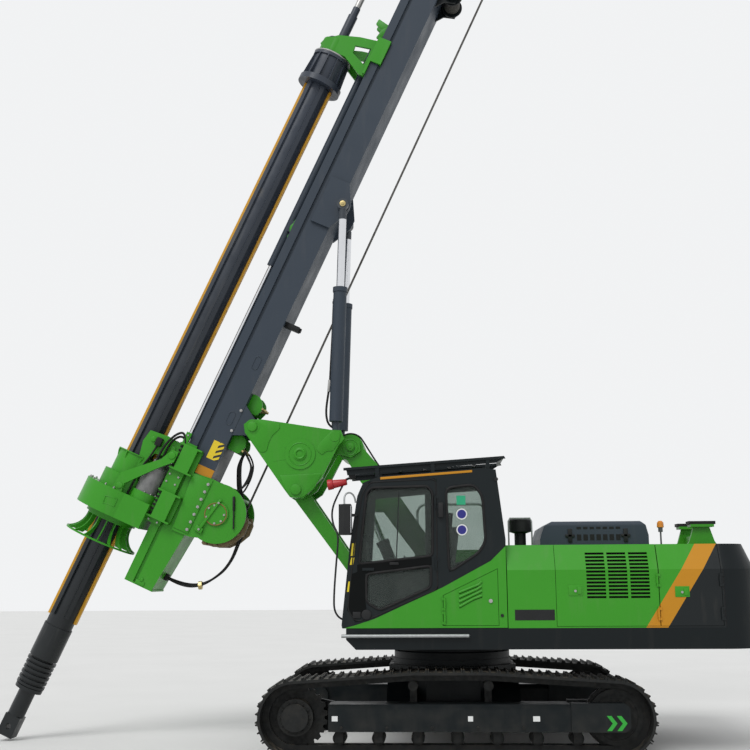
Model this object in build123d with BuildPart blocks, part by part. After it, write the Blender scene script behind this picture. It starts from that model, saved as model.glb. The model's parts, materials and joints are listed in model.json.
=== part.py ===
from build123d import *
import math
import os

# Crawler rotary drilling rig with its mast leaning back over the cab.
# Millimetres. +X is forward, +Y is left, +Z is up. The model is drawn about the
# slewing axis on the ground, and is moved along X at the end, so that its origin
# is the bottom centre of the whole rig.

# Clearances
seat_gap = 0.3          # faces on different bodies that sit on each other
pin_gap = 0.05          # radial, pins in their bores
move_gap = 5.0          # between pieces that pass each other
side_gap = 5.0          # beside pinned parts

# Tracks
track_length = 4400.0   # over the grousers
track_span = 3000.0     # over both tracks
shoe_width = 600.0
track_end_radius = 430.0
grouser_height = 25.0
shoe_band = 30.0        # shoe plate thickness
link_height = 105.0     # from the shoe face to the rail face
link_rail_inner = 42.0
link_rail_outer = 88.0
top_run_height = 950.0
carrier_x = (457.0, -385.0)
shoe_count = 49
roller_count = 7
roller_pitch = 437.0
roller_first_x = 1281.0
roller_radius = 75.0
carrier_radius = 55.0

# Undercarriage frames
frame_inner_y = 980.0
frame_outer_y = 1420.0
frame_low_z = 287.0
frame_high_z = 574.0
frame_front_x = 1395.0
frame_rear_x = -1330.0
frame_edge = 54.0
idler_cheek_rear_x = -1910.0
idler_radius = 300.0
idler_half_width = 100.0
idler_dish = 12.0
idler_hub_radius = 110.0
sprocket_teeth = 22
sprocket_tip = 352.0
sprocket_root = 318.0
sprocket_half_width = 35.0
drive_hub_radius = 200.0
carbody_low_z = 400.0
carbody_beam_high_z = 760.0
carbody_beam_width = 340.0
carbody_beam_x = 600.0
carbody_high_z = 930.0
slew_base_z = 1000.0
slew_split_z = 1090.0
slew_radius = 705.0
slew_bore = 500.0

# Upper deck
deck_low_z = 1165.0
deck_high_z = 1395.0
deck_front_x = 1196.0
deck_rear_x = -3000.0
deck_half_width = 1420.0
deck_plate = 30.0
deck_nose = 110.0
tail_x = -3440.0
tail_corner = 420.0
house_high_z = 2310.0
house_shoulder_z = 2030.0
house_lean = 120.0      # how far the shoulder leans in
house_front_x = -615.0
house_wall = 40.0
panel_split_bc_x = -1150.0
panel_split_cd_x = -2290.0
door_thickness = 36.0
hinge_proud = 22.0
knuckle_height = 80.0
post_height = 30.0
leaf_reach = 18.0

# Cab
cab_inner_y = 540.0
cab_wall = 45.0
cab_side_frame = 60.0
cab_floor = 50.0
glass = 6.0

# Parallelogram linkage, side view points (X, Z)
head_pin = (1228.0, 3569.0)
foot_pin = (790.0, 1500.0)
link_pin = (1885.0, 3029.0)
mast_pin = (2435.0, 3818.0)
tip_pin = (1406.0, 3681.0)
tube_pin = (1837.0, 3468.0)
boom_foot = (foot_pin[0] + head_pin[0] - link_pin[0], foot_pin[1] + head_pin[1] - link_pin[1])
linkage_pin = 55.0
arm_half_width = 290.0
cheek_inner = arm_half_width + side_gap + 5.0
cheek_outer = 335.0
cheek_rear_x = -600.0
triangle_outer = 520.0
triangle_skin = 40.0
luff_base = (480.0, 1530.0)
luff_reach = 1150.0     # along the boom from its foot to the rod's eye
luff_drop = 265.0       # below the boom's centre line
luff_barrel_radius = 75.0
luff_rod_radius = 42.0
luff_barrel_length = 960.0
luff_rod_length = 915.0
barrel_bottom = 50.0

# Mast. (t, s) are forward of and up along the mast, from the mast pin
mast_lean = 24.5
mast_low_s = -2360.0
mast_split_s = -812.0
taper_s = -1560.0       # below this the lower mast's rear face slopes
foot_rear_t = 325.0
mast_high_s = 10450.0
head_high_s = 10900.0
mast_half_width = 295.0
mast_rear_t = 245.0
mast_box_t = 545.0
mast_groove_t = 590.0
mast_front_t = 700.0
mast_wall = 14.0
rail_inner_y = 215.0
rail_neck_y = 265.0
mast_cylinder_y = 430.0
mast_cylinder_radius = 85.0
mast_cylinder_bore = 72.0
mast_rod_radius = 50.0
mast_barrel_length = 1930.0
mast_rod_length = 1740.0
mast_eye = (181.0, 3111.0)
eye_half_width = 45.0

# Winches on the mast
winch_t = -45.0
winch_s = -1160.0
winch_drum_radius = 190.0
winch_flange_radius = 275.0
winch_plate_y = mast_half_width + seat_gap
winch_plate = 28.0
aux_s = 6500.0
aux_t = 100.0
aux_drum_radius = 85.0
aux_flange_radius = 140.0
sheave_radius = 270.0
sheave_width = 60.0
front_sheave = (1010.0, 10620.0)
rear_sheave = (30.0, 10640.0)

# Rotary drive and kelly
kelly_t = 1280.0
kelly_tube_radius = 170.0
kelly_key_radius = 198.0
kelly_key_width = 60.0
kelly_bore = 140.0
kelly_low_s = -3680.0
kelly_stub_s = -4705.0
stub_half = 100.0
tool_pin_radius = 35.0
kelly_top_s = 6030.0
sleeve_bore = 203.0
sleeve_radius = 232.0
gearbox_low_s = -1725.0
gearbox_high_s = -1400.0
gearbox_radius = 490.0
shoulder_high_s = -1200.0
collar_radius = 275.0
collar_flange = 20.0
collar_ribs = 8
motor_t = 940.0
motor_y = 270.0
motor_flange = 110.0
motor_radius = 140.0
motor_cup = 165.0
collar_high_s = -900.0
bell_radius = 465.0
bell_low_s = -2060.0
carriage_low_s = -1590.0
carriage_high_s = -380.0
carriage_skin = 40.0
carriage_plate_t = 708.0
carriage_front_t = 775.0
crowd_t = 805.0
crowd_rod_radius = 30.0
crowd_barrel_radius = 58.0
crowd_bore = 45.0
crowd_low_s = 2080.0
crowd_barrel_length = 3400.0
crowd_rod_length = 3400.0
guide_low_s = 4930.0    # front plate of the guide
guide_high_s = 5490.0
claw_low_s = 5130.0
drum_radius = 240.0     # drum round the kelly, below the guide's hub
drum_low_s = 4620.0
drum_high_s = 5095.0
neck_radius = 153.0
hub_radius = 225.0
hub_high_s = 5300.0
kelly_high_s = hub_high_s + seat_gap


# Planes and small helpers
forward = (math.cos(math.radians(mast_lean)), 0, math.sin(math.radians(mast_lean)))
upward = (-math.sin(math.radians(mast_lean)), 0, math.cos(math.radians(mast_lean)))


def side_plane(y):
    """A plane at this Y whose own axes are X and Z."""
    return Plane(origin=(0, y, 0), x_dir=(1, 0, 0), z_dir=(0, -1, 0))


def mast_point(t, s, y=0.0):
    """A point of the mast in the rig's own axes."""
    return (mast_pin[0] + t * forward[0] + s * upward[0], y,
            mast_pin[1] + t * forward[2] + s * upward[2])


def mast_side(y):
    """A plane at this Y whose own axes are t and s."""
    return Plane(origin=mast_point(0, 0, y), x_dir=forward, z_dir=(0, -1, 0))


def mast_section(s, t=0.0, y=0.0):
    """A plane across the mast, its own axes t and Y, looking up the mast."""
    return Plane(origin=mast_point(t, s, y), x_dir=forward, z_dir=upward)


def prism(outline, low, high, plane_at=side_plane, grow=0.0, mode=Mode.ADD):
    """A plate between two Y values, its straight-sided outline grown by a little."""
    with BuildSketch(plane_at(high)) as profile:
        with BuildLine():
            Polyline(*outline, close=True)
        make_face()
        if grow:
            offset(amount=grow, kind=Kind.INTERSECTION)
    extrude(profile.sketch, amount=high - low, mode=mode)


def disc(centre, radius, low, high, plane_at=side_plane, mode=Mode.ADD):
    """A round plate, boss or bore between two Y values."""
    with BuildSketch(plane_at(high)) as profile:
        with Locations(centre):
            Circle(radius)
    extrude(profile.sketch, amount=high - low, mode=mode)


def prisms(outline, inner, outer, **options):
    """The same plate on the left and on the right side."""
    prism(outline, inner, outer, **options)
    prism(outline, -outer, -inner, **options)


def discs(centre, radius, inner, outer, **options):
    """The same round piece on the left and on the right side."""
    disc(centre, radius, inner, outer, **options)
    disc(centre, radius, -outer, -inner, **options)


def block(x, y, z, mode=Mode.ADD):
    """A box between pairs of X, Y and Z values."""
    with BuildSketch(Plane.XY.offset(z[0])) as profile:
        with Locations(((x[0] + x[1]) / 2, (y[0] + y[1]) / 2)):
            Rectangle(x[1] - x[0], y[1] - y[0])
    extrude(profile.sketch, amount=z[1] - z[0], mode=mode)


def mast_block(t, y, s, mode=Mode.ADD):
    """A box square to the mast, between pairs of t, Y and s values."""
    with BuildSketch(mast_section(s[0])) as profile:
        with Locations(((t[0] + t[1]) / 2, (y[0] + y[1]) / 2)):
            Rectangle(t[1] - t[0], y[1] - y[0])
    extrude(profile.sketch, amount=s[1] - s[0], mode=mode)


def rod(t, y, radius, low, high, mode=Mode.ADD):
    """A round bar along the mast."""
    with BuildSketch(mast_section(low)) as profile:
        with Locations((t, y)):
            Circle(radius)
    extrude(profile.sketch, amount=high - low, mode=mode)


def along(start, end):
    """Unit vector and length from one side view point to another."""
    length = math.dist(start, end)
    return ((end[0] - start[0]) / length, (end[1] - start[1]) / length), length


def axis_plane(start, end, y, distance=0.0):
    """A plane across the line between two side view points, at this distance."""
    (ux, uz), _ = along(start, end)
    return Plane(origin=(start[0] + ux * distance, y, start[1] + uz * distance),
                 x_dir=(0, 1, 0), z_dir=(ux, 0, uz))


def bar(start, end, y, radius, low, high, mode=Mode.ADD):
    """A round bar on the line between two side view points."""
    with BuildSketch(axis_plane(start, end, y, low)) as profile:
        Circle(radius)
    extrude(profile.sketch, amount=high - low, mode=mode)


def beam_outline(start, end, start_half, end_half, start_cut=0.0, end_cut=0.0):
    """Four corners of a tapered bar between two side view points."""
    (ux, uz), length = along(start, end)
    a, b = start_cut, length - end_cut
    corners = ((a, start_half), (b, end_half), (b, -end_half), (a, -start_half))
    return [(start[0] + ux * d - uz * w, start[1] + uz * d + ux * w) for d, w in corners]


finished = {}


def keep(piece, name):
    """Remember a finished piece under its name."""
    finished[name] = piece


# Track loop: straight runs and end arcs at a distance outside the shoe face
wheel_z = track_end_radius
wheel_x = track_length / 2 - track_end_radius
shoe_radius = track_end_radius - grouser_height
track_y = (track_span - shoe_width) / 2


def track_loop(out):
    """Segments of the loop, each with its length, counterclockwise seen from the right."""
    radius = shoe_radius + out
    top = top_run_height - grouser_height + out
    angles = []
    for x, centre, turn in ((carrier_x[0], wheel_x, -1), (carrier_x[1], -wheel_x, 1)):
        reach = math.hypot(x - centre, top - wheel_z)
        heading = math.atan2(top - wheel_z, x - centre)
        angles.append(heading + turn * math.acos(radius / reach))
    front = (wheel_x + radius * math.cos(angles[0]), wheel_z + radius * math.sin(angles[0]))
    rear = (-wheel_x + radius * math.cos(angles[1]), wheel_z + radius * math.sin(angles[1]))
    corners = [(carrier_x[0], top), (carrier_x[1], top)]
    floor_z = wheel_z - radius
    return [
        ("line", (-wheel_x, floor_z), (wheel_x, floor_z)),
        ("arc", wheel_x, -math.pi / 2, angles[0], radius),
        ("line", front, corners[0]),
        ("line", corners[0], corners[1]),
        ("line", corners[1], rear),
        ("arc", -wheel_x, angles[1], 1.5 * math.pi, radius),
    ]


def segment_length(segment):
    if segment[0] == "line":
        return math.dist(segment[1], segment[2])
    return (segment[3] - segment[2]) * segment[4]


def loop_point(segments, distance, out):
    """A point at this distance along the loop and this height outside it."""
    for segment in segments:
        length = segment_length(segment)
        if distance <= length:
            break
        distance -= length
    if segment[0] == "line":
        (x0, z0), (x1, z1) = segment[1], segment[2]
        ux, uz = (x1 - x0) / length, (z1 - z0) / length
        return (x0 + ux * distance + uz * out, z0 + uz * distance - ux * out)
    angle = segment[2] + distance / segment[4]
    radius = segment[4] + out
    return (segment[1] + radius * math.cos(angle), wheel_z + radius * math.sin(angle))


def draw_loop(out):
    """The loop's lines and arcs in the open sketch."""
    for segment in track_loop(out):
        if segment[0] == "line":
            Line(segment[1], segment[2])
        else:
            middle = (segment[2] + segment[3]) / 2
            points = [(segment[1] + segment[4] * math.cos(angle), wheel_z + segment[4] * math.sin(angle))
                      for angle in (segment[2], middle, segment[3])]
            ThreePointArc(*points)


def loop_face(out, low, high, mode):
    """The whole loop as a filled plate."""
    with BuildSketch(side_plane(high)) as profile:
        with BuildLine():
            draw_loop(out)
        make_face()
    extrude(profile.sketch, amount=high - low, mode=mode)


def loop_ring(outside, inside, low, high):
    """A band that follows the loop between two heights."""
    with BuildSketch(side_plane(high)) as profile:
        with BuildLine():
            draw_loop(outside)
        make_face()
        with BuildLine():
            draw_loop(inside)
        make_face(mode=Mode.SUBTRACT)
    extrude(profile.sketch, amount=high - low)


# Tracks: the shoes and their grousers are in the outline
shoe_loop = track_loop(0)
shoe_pitch = sum(segment_length(s) for s in shoe_loop) / shoe_count
# (share of the pitch, height outside the shoe face)
shoe_profile = ((0.0, -14.0), (0.03, grouser_height), (0.09, grouser_height), (0.13, 0.0),
                (0.44, 0.0), (0.47, grouser_height), (0.53, grouser_height), (0.56, 0.0),
                (0.87, 0.0), (0.91, grouser_height), (0.97, grouser_height))
shoe_outline = [loop_point(shoe_loop, (number + share) * shoe_pitch, height)
                for number in range(shoe_count) for share, height in shoe_profile]

for side, name in ((1, "track_left"), (-1, "track_right")):
    middle_y = side * track_y
    with BuildPart() as track:
        prism(shoe_outline, middle_y - shoe_width / 2, middle_y + shoe_width / 2)
        loop_face(-shoe_band, middle_y - shoe_width / 2, middle_y + shoe_width / 2, Mode.SUBTRACT)
        for low, high in ((link_rail_inner, link_rail_outer), (-link_rail_outer, -link_rail_inner)):
            loop_ring(4 - shoe_band, -link_height, middle_y + low, middle_y + high)
    keep(track, name)

# Sprockets with their final drive hubs, and idlers
rail_floor_z = grouser_height + link_height
tooth_outline = []
for tooth in range(sprocket_teeth):
    for share, radius in ((0.0, sprocket_root), (0.25, sprocket_root),
                          (0.42, sprocket_tip), (0.83, sprocket_tip)):
        angle = 2 * math.pi * (tooth + share) / sprocket_teeth
        tooth_outline.append((wheel_x + radius * math.cos(angle), wheel_z + radius * math.sin(angle)))

hub_inner_y = 1060.0
hub_outer_y = 1395.0
with BuildPart() as sprockets:
    for side in (1, -1):
        low, high = sorted((side * (track_y - sprocket_half_width), side * (track_y + sprocket_half_width)))
        prism(tooth_outline, low, high)
        low, high = sorted((side * (hub_inner_y + seat_gap), side * (hub_outer_y - 45)))
        disc((wheel_x, wheel_z), drive_hub_radius, low, high)
        low, high = sorted((side * (hub_outer_y - 45), side * hub_outer_y))
        disc((wheel_x, wheel_z), drive_hub_radius - 50, low, high)
keep(sprockets, "sprockets")

idler_flange = idler_radius + 35
with BuildPart() as idlers:
    for side in (1, -1):
        centre = (-wheel_x, wheel_z)
        for radius, half in ((idler_radius - seat_gap, idler_half_width), (idler_flange, link_rail_inner - 4)):
            disc(centre, radius, side * track_y - half, side * track_y + half)
        disc(centre, 75, side * track_y - 111.5, side * track_y + 111.5)
        for face in (1, -1):
            outer = side * track_y + face * idler_half_width
            low, high = sorted((outer - face * idler_dish, outer))
            disc(centre, idler_radius - 55, low, high, mode=Mode.SUBTRACT)
            disc(centre, idler_hub_radius, low, high)
keep(idlers, "idlers")

# Track rollers and carrier rollers, each with its bracket
roller_z = rail_floor_z + seat_gap + roller_radius
roller_x = [roller_first_x - number * roller_pitch for number in range(roller_count)]
with BuildPart() as track_rollers:
    for side in (1, -1):
        y = side * track_y
        for radius, half in ((roller_radius, 100), (roller_radius - 30, 150)):
            with BuildSketch(side_plane(y + half)) as rounds:
                with Locations(*[(x, roller_z) for x in roller_x]):
                    Circle(radius)
            extrude(rounds.sketch, amount=2 * half)
        for low in (y - 150, y + 122):
            with BuildSketch(Plane.XY.offset(roller_z - 40)) as feet:
                with Locations(*[(x, low + 14) for x in roller_x]):
                    Rectangle(90, 28)
            extrude(feet.sketch, amount=frame_low_z - roller_z + 40)
keep(track_rollers, "track_rollers")

with BuildPart() as carrier_rollers:
    carrier_z = top_run_height - grouser_height - link_height - seat_gap - carrier_radius
    for side in (1, -1):
        for x in carrier_x:
            y = side * track_y
            disc((x, carrier_z), carrier_radius, y - 96, y + 96)
            low, high = sorted((y - side * 140, y - side * 96))
            disc((x, carrier_z), carrier_radius - 15, low, high)
            block((x - 40, x + 40), (low, high), (frame_high_z, carrier_z))
keep(carrier_rollers, "carrier_rollers")

# Side frames: roller frame, idler cheeks, motor bracket
frame_section = [(frame_inner_y, frame_low_z), (frame_outer_y, frame_low_z),
                 (frame_outer_y, frame_high_z - frame_edge), (frame_outer_y - frame_edge, frame_high_z),
                 (frame_inner_y + frame_edge, frame_high_z), (frame_inner_y, frame_high_z - frame_edge)]
cheek_gap = 112.0
with BuildPart() as side_frames:
    for side in (1, -1):
        with BuildSketch(Plane.YZ.offset(frame_rear_x)) as section:
            with BuildLine():
                Polyline(*[(side * y, z) for y, z in frame_section], close=True)
            make_face()
        extrude(section.sketch, amount=frame_front_x - frame_rear_x)
        for low, high in ((frame_inner_y - 20, track_y - cheek_gap), (track_y + cheek_gap, frame_outer_y + 20)):
            y0, y1 = sorted((side * low, side * high))
            prism([(frame_rear_x + 60, frame_low_z), (idler_cheek_rear_x + 60, frame_low_z), (idler_cheek_rear_x, 335),
                   (idler_cheek_rear_x, 545), (idler_cheek_rear_x + 60, 592), (frame_rear_x + 60, 592)], y0, y1)
        y0, y1 = sorted((side * (hub_inner_y - 50), side * hub_inner_y))
        disc((wheel_x, wheel_z), 250, y0, y1)
        prism([(frame_front_x - 40, frame_low_z), (wheel_x, wheel_z - 225), (wheel_x, wheel_z + 225),
               (frame_front_x - 40, frame_high_z)], y0, y1)
        y0, y1 = sorted((side * (frame_inner_y - 60), side * (hub_inner_y - 50)))
        disc((wheel_x, wheel_z), 150, y0, y1)
keep(side_frames, "side_frames")

# Carbody between the side frames, with the ring seat on top
with BuildPart() as centre_frame:
    for x in (carbody_beam_x, -carbody_beam_x):
        block((x - carbody_beam_width / 2, x + carbody_beam_width / 2), (-frame_inner_y, frame_inner_y),
              (carbody_low_z + 90, carbody_beam_high_z - 230))
        for side in (1, -1):
            with BuildSketch(Plane.YZ.offset(x - carbody_beam_width / 2)) as wing:
                with BuildLine():
                    Polyline((side * 400, carbody_low_z + 90), (side * frame_inner_y, carbody_low_z - 60),
                             (side * frame_inner_y, carbody_beam_high_z - 240), (side * 400, carbody_high_z - 60),
                             close=True)
                make_face()
            extrude(wing.sketch, amount=carbody_beam_width)
    with BuildSketch(Plane.XY.offset(carbody_low_z + 50)) as body:
        RegularPolygon(760, 8, major_radius=False, rotation=22.5)
    extrude(body.sketch, amount=carbody_high_z - carbody_low_z - 50)
    with BuildSketch(Plane.XY.offset(carbody_high_z)) as seat:
        Circle(slew_radius + 15)
        Circle(slew_bore - 20, mode=Mode.SUBTRACT)
    extrude(seat.sketch, amount=slew_base_z - carbody_high_z)
    with BuildSketch(Plane.XY.offset(carbody_low_z + 50)) as bore:
        Circle(260)
    extrude(bore.sketch, amount=slew_base_z, mode=Mode.SUBTRACT)
keep(centre_frame, "centre_frame")

with BuildPart() as slew_ring:
    with BuildSketch(Plane.XY.offset(slew_base_z)) as ring:
        Circle(slew_radius)
        Circle(slew_bore, mode=Mode.SUBTRACT)
    extrude(ring.sketch, amount=slew_split_z - slew_base_z)
    chamfer(slew_ring.edges().filter_by(GeomType.CIRCLE).group_by(Axis.Z)[-1].sort_by(SortBy.RADIUS)[-1], 12)
keep(slew_ring, "slew_ring")

# Upper deck with open bays below, the upper ring and the linkage cheeks
cheek_outline = [(cheek_rear_x, deck_high_z), (950, deck_high_z), (950, foot_pin[1] + 40),
                 (foot_pin[0] + 90, foot_pin[1] + 110), (foot_pin[0] - 40, foot_pin[1] + 150),
                 (boom_foot[0] + 150, boom_foot[1] + 60), (boom_foot[0] + 70, boom_foot[1] + 150),
                 (boom_foot[0] - 70, boom_foot[1] + 150), (boom_foot[0] - 150, boom_foot[1] + 60),
                 (cheek_rear_x, foot_pin[1] + 60)]
bay_rows = ((560, 1370), (-1370, -560))
bay_columns = ((-2930, -2020), (-1980, -1070), (-1030, -120), (-80, 830))
with BuildPart() as main_frame:
    prism([(deck_rear_x, deck_low_z), (deck_front_x - deck_nose, deck_low_z),
           (deck_front_x, deck_low_z + deck_nose), (deck_front_x, deck_high_z), (deck_rear_x, deck_high_z)],
          -deck_half_width, deck_half_width)
    for y in bay_rows:
        for x in bay_columns:
            block(x, y, (deck_low_z - 1, deck_high_z - deck_plate), mode=Mode.SUBTRACT)
    for x in ((-2930, -1900), (-1850, -850)):
        block(x, (-420, 420), (deck_low_z - 1, deck_high_z - deck_plate), mode=Mode.SUBTRACT)
    with BuildSketch(Plane.XY.offset(slew_split_z + seat_gap)) as ring:
        Circle(slew_radius - 35)
        Circle(slew_bore - 60, mode=Mode.SUBTRACT)
    extrude(ring.sketch, amount=deck_low_z - slew_split_z - seat_gap + 5)
    prisms(cheek_outline, cheek_inner, cheek_inner + 50)
    for pin in (foot_pin, boom_foot):
        discs(pin, 120, cheek_inner, cheek_inner + 70)
        discs(pin, linkage_pin + pin_gap, cheek_inner - 1, cheek_inner + 71, mode=Mode.SUBTRACT)
    prisms([(luff_base[0] - 150, deck_high_z), (luff_base[0] + 150, deck_high_z),
            (luff_base[0] + 75, luff_base[1] + 75), (luff_base[0] - 75, luff_base[1] + 75)], 62, 100)
    discs(luff_base, 40 + pin_gap, 61, 101, mode=Mode.SUBTRACT)
keep(main_frame, "main_frame")


def shoulder_cut(x_low, x_high):
    """Cuts the leaning shoulders along both sides of the housing."""
    slope = house_lean / (house_high_z - house_shoulder_z)
    over = 50.0
    for side in (1, -1):
        with BuildSketch(Plane.YZ.offset(x_low - 1)) as wedge:
            with BuildLine():
                Polyline((side * deck_half_width, house_shoulder_z),
                         (side * (deck_half_width + over), house_shoulder_z),
                         (side * (deck_half_width + over), house_high_z + over),
                         (side * (deck_half_width - house_lean - slope * over), house_high_z + over),
                         close=True)
            make_face()
        extrude(wedge.sketch, amount=x_high - x_low + 2, mode=Mode.SUBTRACT)


# Counterweight with round rear corners and leaning shoulders
with BuildPart() as counterweight:
    corner_x = tail_x + tail_corner
    corner_y = deck_half_width - tail_corner
    face_x = deck_rear_x - seat_gap
    with BuildSketch(Plane.XY.offset(deck_low_z)) as plan:
        with BuildLine():
            Polyline((corner_x, -deck_half_width), (face_x, -deck_half_width),
                     (face_x, deck_half_width), (corner_x, deck_half_width))
            RadiusArc((corner_x, deck_half_width), (tail_x, corner_y), -tail_corner)
            Line((tail_x, corner_y), (tail_x, -corner_y))
            RadiusArc((tail_x, -corner_y), (corner_x, -deck_half_width), -tail_corner)
        make_face()
    extrude(plan.sketch, amount=house_shoulder_z - deck_low_z)
    lean_angle = math.degrees(math.atan2(house_lean, house_high_z - house_shoulder_z))
    with BuildSketch(Plane.XY.offset(house_shoulder_z)) as crown:
        add(plan.sketch_local)
        with Locations((face_x + house_lean, 0)):
            Rectangle(2 * house_lean, 2 * deck_half_width)
    extrude(crown.sketch, amount=house_high_z - house_shoulder_z, taper=lean_angle)
    block((face_x, face_x + 3 * house_lean), (-deck_half_width - 1, deck_half_width + 1),
          (deck_low_z - 1, house_high_z + 1), mode=Mode.SUBTRACT)
keep(counterweight, "counterweight")


def housing_profile(inset, low_z, x):
    """The housing's cross section at this X, inset from its outer faces."""
    half = deck_half_width - inset
    with BuildSketch(Plane.YZ.offset(x)) as profile:
        with BuildLine():
            Polyline((-half, low_z), (half, low_z), (half, house_shoulder_z - inset / 4),
                     (half - house_lean, house_high_z - inset), (house_lean - half, house_high_z - inset),
                     (-half, house_shoulder_z - inset / 4), close=True)
        make_face()
    return profile.sketch


def knuckle(x, side, z):
    """A door's own hinge knuckle."""
    with BuildSketch(Plane.XY.offset(z)) as round_bar:
        with Locations((x, side * (deck_half_width + hinge_proud / 2))):
            Circle(hinge_proud / 2 + 2)
    extrude(round_bar.sketch, amount=knuckle_height)


def hinge_posts(wall_x, x, side, z):
    """Fixed posts above and below a door's knuckle, on leaves from the wall beside the door."""
    away = 1 if wall_x > x else -1
    middle_y = deck_half_width + hinge_proud / 2
    for low in (z - seat_gap - post_height, z + knuckle_height + seat_gap):
        with BuildSketch(Plane.XY.offset(low)) as post:
            with Locations((x, side * middle_y)):
                Circle(hinge_proud / 2 - 1)
        extrude(post.sketch, amount=post_height)
        block(sorted((x, wall_x + away * leaf_reach)),
              sorted((side * (deck_half_width + move_gap), side * middle_y)),
              (low, low + post_height))
        block(sorted((wall_x + away * 4, wall_x + away * leaf_reach)),
              sorted((side * (deck_half_width - 1), side * middle_y)), (low, low + post_height))


hood_x = (-2364.0, -1073.0)
hood_hinge = (hood_x[0] - 13, house_high_z + 14)

# Engine housing: an open shell with door openings and a hatch for the hood
hatch_x = (-2280.0, -1090.0)
hatch_half = 560.0
door_openings = {  # name: (rear X, front X, side)
    "grille_door": (panel_split_cd_x, panel_split_bc_x, 1),
    "rear_door": (deck_rear_x + 20, panel_split_cd_x, 1),
    "right_door": (panel_split_cd_x, panel_split_bc_x, -1),
}
pillar = 25.0
sill = 45.0
hinge_inset = 12.0      # from a door's edge to its hinge line
door_low_z = deck_high_z + sill - 30 + move_gap
door_knuckles = (door_low_z + 90, house_shoulder_z - 160)
with BuildPart() as house:
    extrude(housing_profile(0, deck_high_z + seat_gap, deck_rear_x), amount=house_front_x - deck_rear_x)
    extrude(housing_profile(house_wall, deck_high_z + sill, deck_rear_x + house_wall),
            amount=house_front_x - deck_rear_x - 2 * house_wall, mode=Mode.SUBTRACT)
    for rear, front, side in door_openings.values():
        y = sorted((side * (deck_half_width - house_lean - 60), side * (deck_half_width + 1)))
        block((rear + pillar, front - pillar), y, (deck_high_z + sill, house_high_z + 1), mode=Mode.SUBTRACT)
        slot_y = sorted((side * (deck_half_width - door_thickness - move_gap), side * (deck_half_width + 1)))
        block((rear, front), slot_y, (deck_high_z + sill - 30, house_high_z + 1), mode=Mode.SUBTRACT)
        block((rear, front), y, (house_shoulder_z - 20, house_high_z + 1), mode=Mode.SUBTRACT)
        for z in door_knuckles:
            hinge_posts(rear, rear + move_gap + hinge_inset, side, z)
    block(hatch_x, (-hatch_half, hatch_half), (house_high_z - house_wall - 1, house_high_z + 1),
          mode=Mode.SUBTRACT)
    for low in (380 + seat_gap, -410):
        y = (low, low + 30 - seat_gap)
        disc(hood_hinge, 11, *y)
        block((hood_hinge[0] - 11, hood_hinge[0] + 11), y, (house_high_z - 1, hood_hinge[1]))
keep(house, "house")


def housing_door(rear, front, side):
    """A door of the housing with its leaning upper part, and its hinge knuckles."""
    outer = deck_half_width
    inner = outer - door_thickness
    x0, x1 = rear + move_gap, front - move_gap
    with BuildSketch(Plane.YZ.offset(x0)) as profile:
        with BuildLine():
            Polyline(*[(side * y, z) for y, z in (
                (outer, door_low_z), (outer, house_shoulder_z), (outer - house_lean, house_high_z),
                (inner - house_lean, house_high_z - 12), (inner, house_shoulder_z - 12), (inner, door_low_z))],
                close=True)
        make_face()
    extrude(profile.sketch, amount=x1 - x0)
    for z in door_knuckles:
        knuckle(x0 + hinge_inset, side, z)


grille_columns = 3
grille_rows = 13
grille_x = (-2205.0, -1480.0)
grille_z = (1716.0, 2236.0)
grille_slot = 24.0
with BuildPart() as grille_door:
    housing_door(*door_openings["grille_door"])
    column_width = (grille_x[1] - grille_x[0]) / grille_columns
    row_height = (grille_z[1] - grille_z[0]) / grille_rows
    for column in range(grille_columns):
        for row in range(grille_rows):
            x = grille_x[0] + column * column_width
            z = grille_z[0] + row * row_height
            block((x + 15, x + column_width - 15), (deck_half_width - 140, deck_half_width + 1),
                  (z, z + grille_slot), mode=Mode.SUBTRACT)
keep(grille_door, "grille_door")

with BuildPart() as rear_door:
    housing_door(*door_openings["rear_door"])
keep(rear_door, "rear_door")

with BuildPart() as right_door:
    housing_door(*door_openings["right_door"])
keep(right_door, "right_door")

# Engine as one plain block on the deck, and the hood over its hatch
with BuildPart() as engine_block:
    block((-2200, -1150), (-380, 380), (deck_high_z + sill + seat_gap, 2180))
keep(engine_block, "engine_block")

hood_half = 600.0
hood_high_z = 2610.0
hood_skin = 25.0


def hood_outline(inset):
    """The hood's side outline with its sloping ends."""
    rear, front = hood_x[0] + inset, hood_x[1] - inset
    low, high = house_high_z + (seat_gap if inset == 0 else -1), hood_high_z - inset
    return [(rear, low), (front, low), (front, low + 90), (front - 50, high - 60), (front - 150, high),
            (rear + 90, high), (rear + 30, high - 50), (rear, low + 130)]


with BuildPart() as engine_hood:
    prism(hood_outline(0), -hood_half, hood_half)
    fillet(engine_hood.edges().filter_by(Axis.X).group_by(Axis.Z)[-1], 60)
    prism(hood_outline(hood_skin), hood_skin - hood_half, hood_half - hood_skin, mode=Mode.SUBTRACT)
    for y in ((300, 380), (-380, -300)):
        disc(hood_hinge, 12, *y)
        block((hood_hinge[0], hood_x[0] + 1), y, (hood_hinge[1] - 10, hood_hinge[1] + 10))
keep(engine_hood, "engine_hood")

# Right side: fuel tank housing and the tool box with its step
with BuildPart() as right_housing:
    block((house_front_x + 15, 450), (-deck_half_width, -cab_inner_y), (deck_high_z + seat_gap, house_high_z))
    shoulder_cut(house_front_x, 450)
    block((470, deck_front_x - 10), (-deck_half_width, -cab_inner_y - 120), (deck_high_z + seat_gap, 1760))
keep(right_housing, "right_housing")

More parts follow.
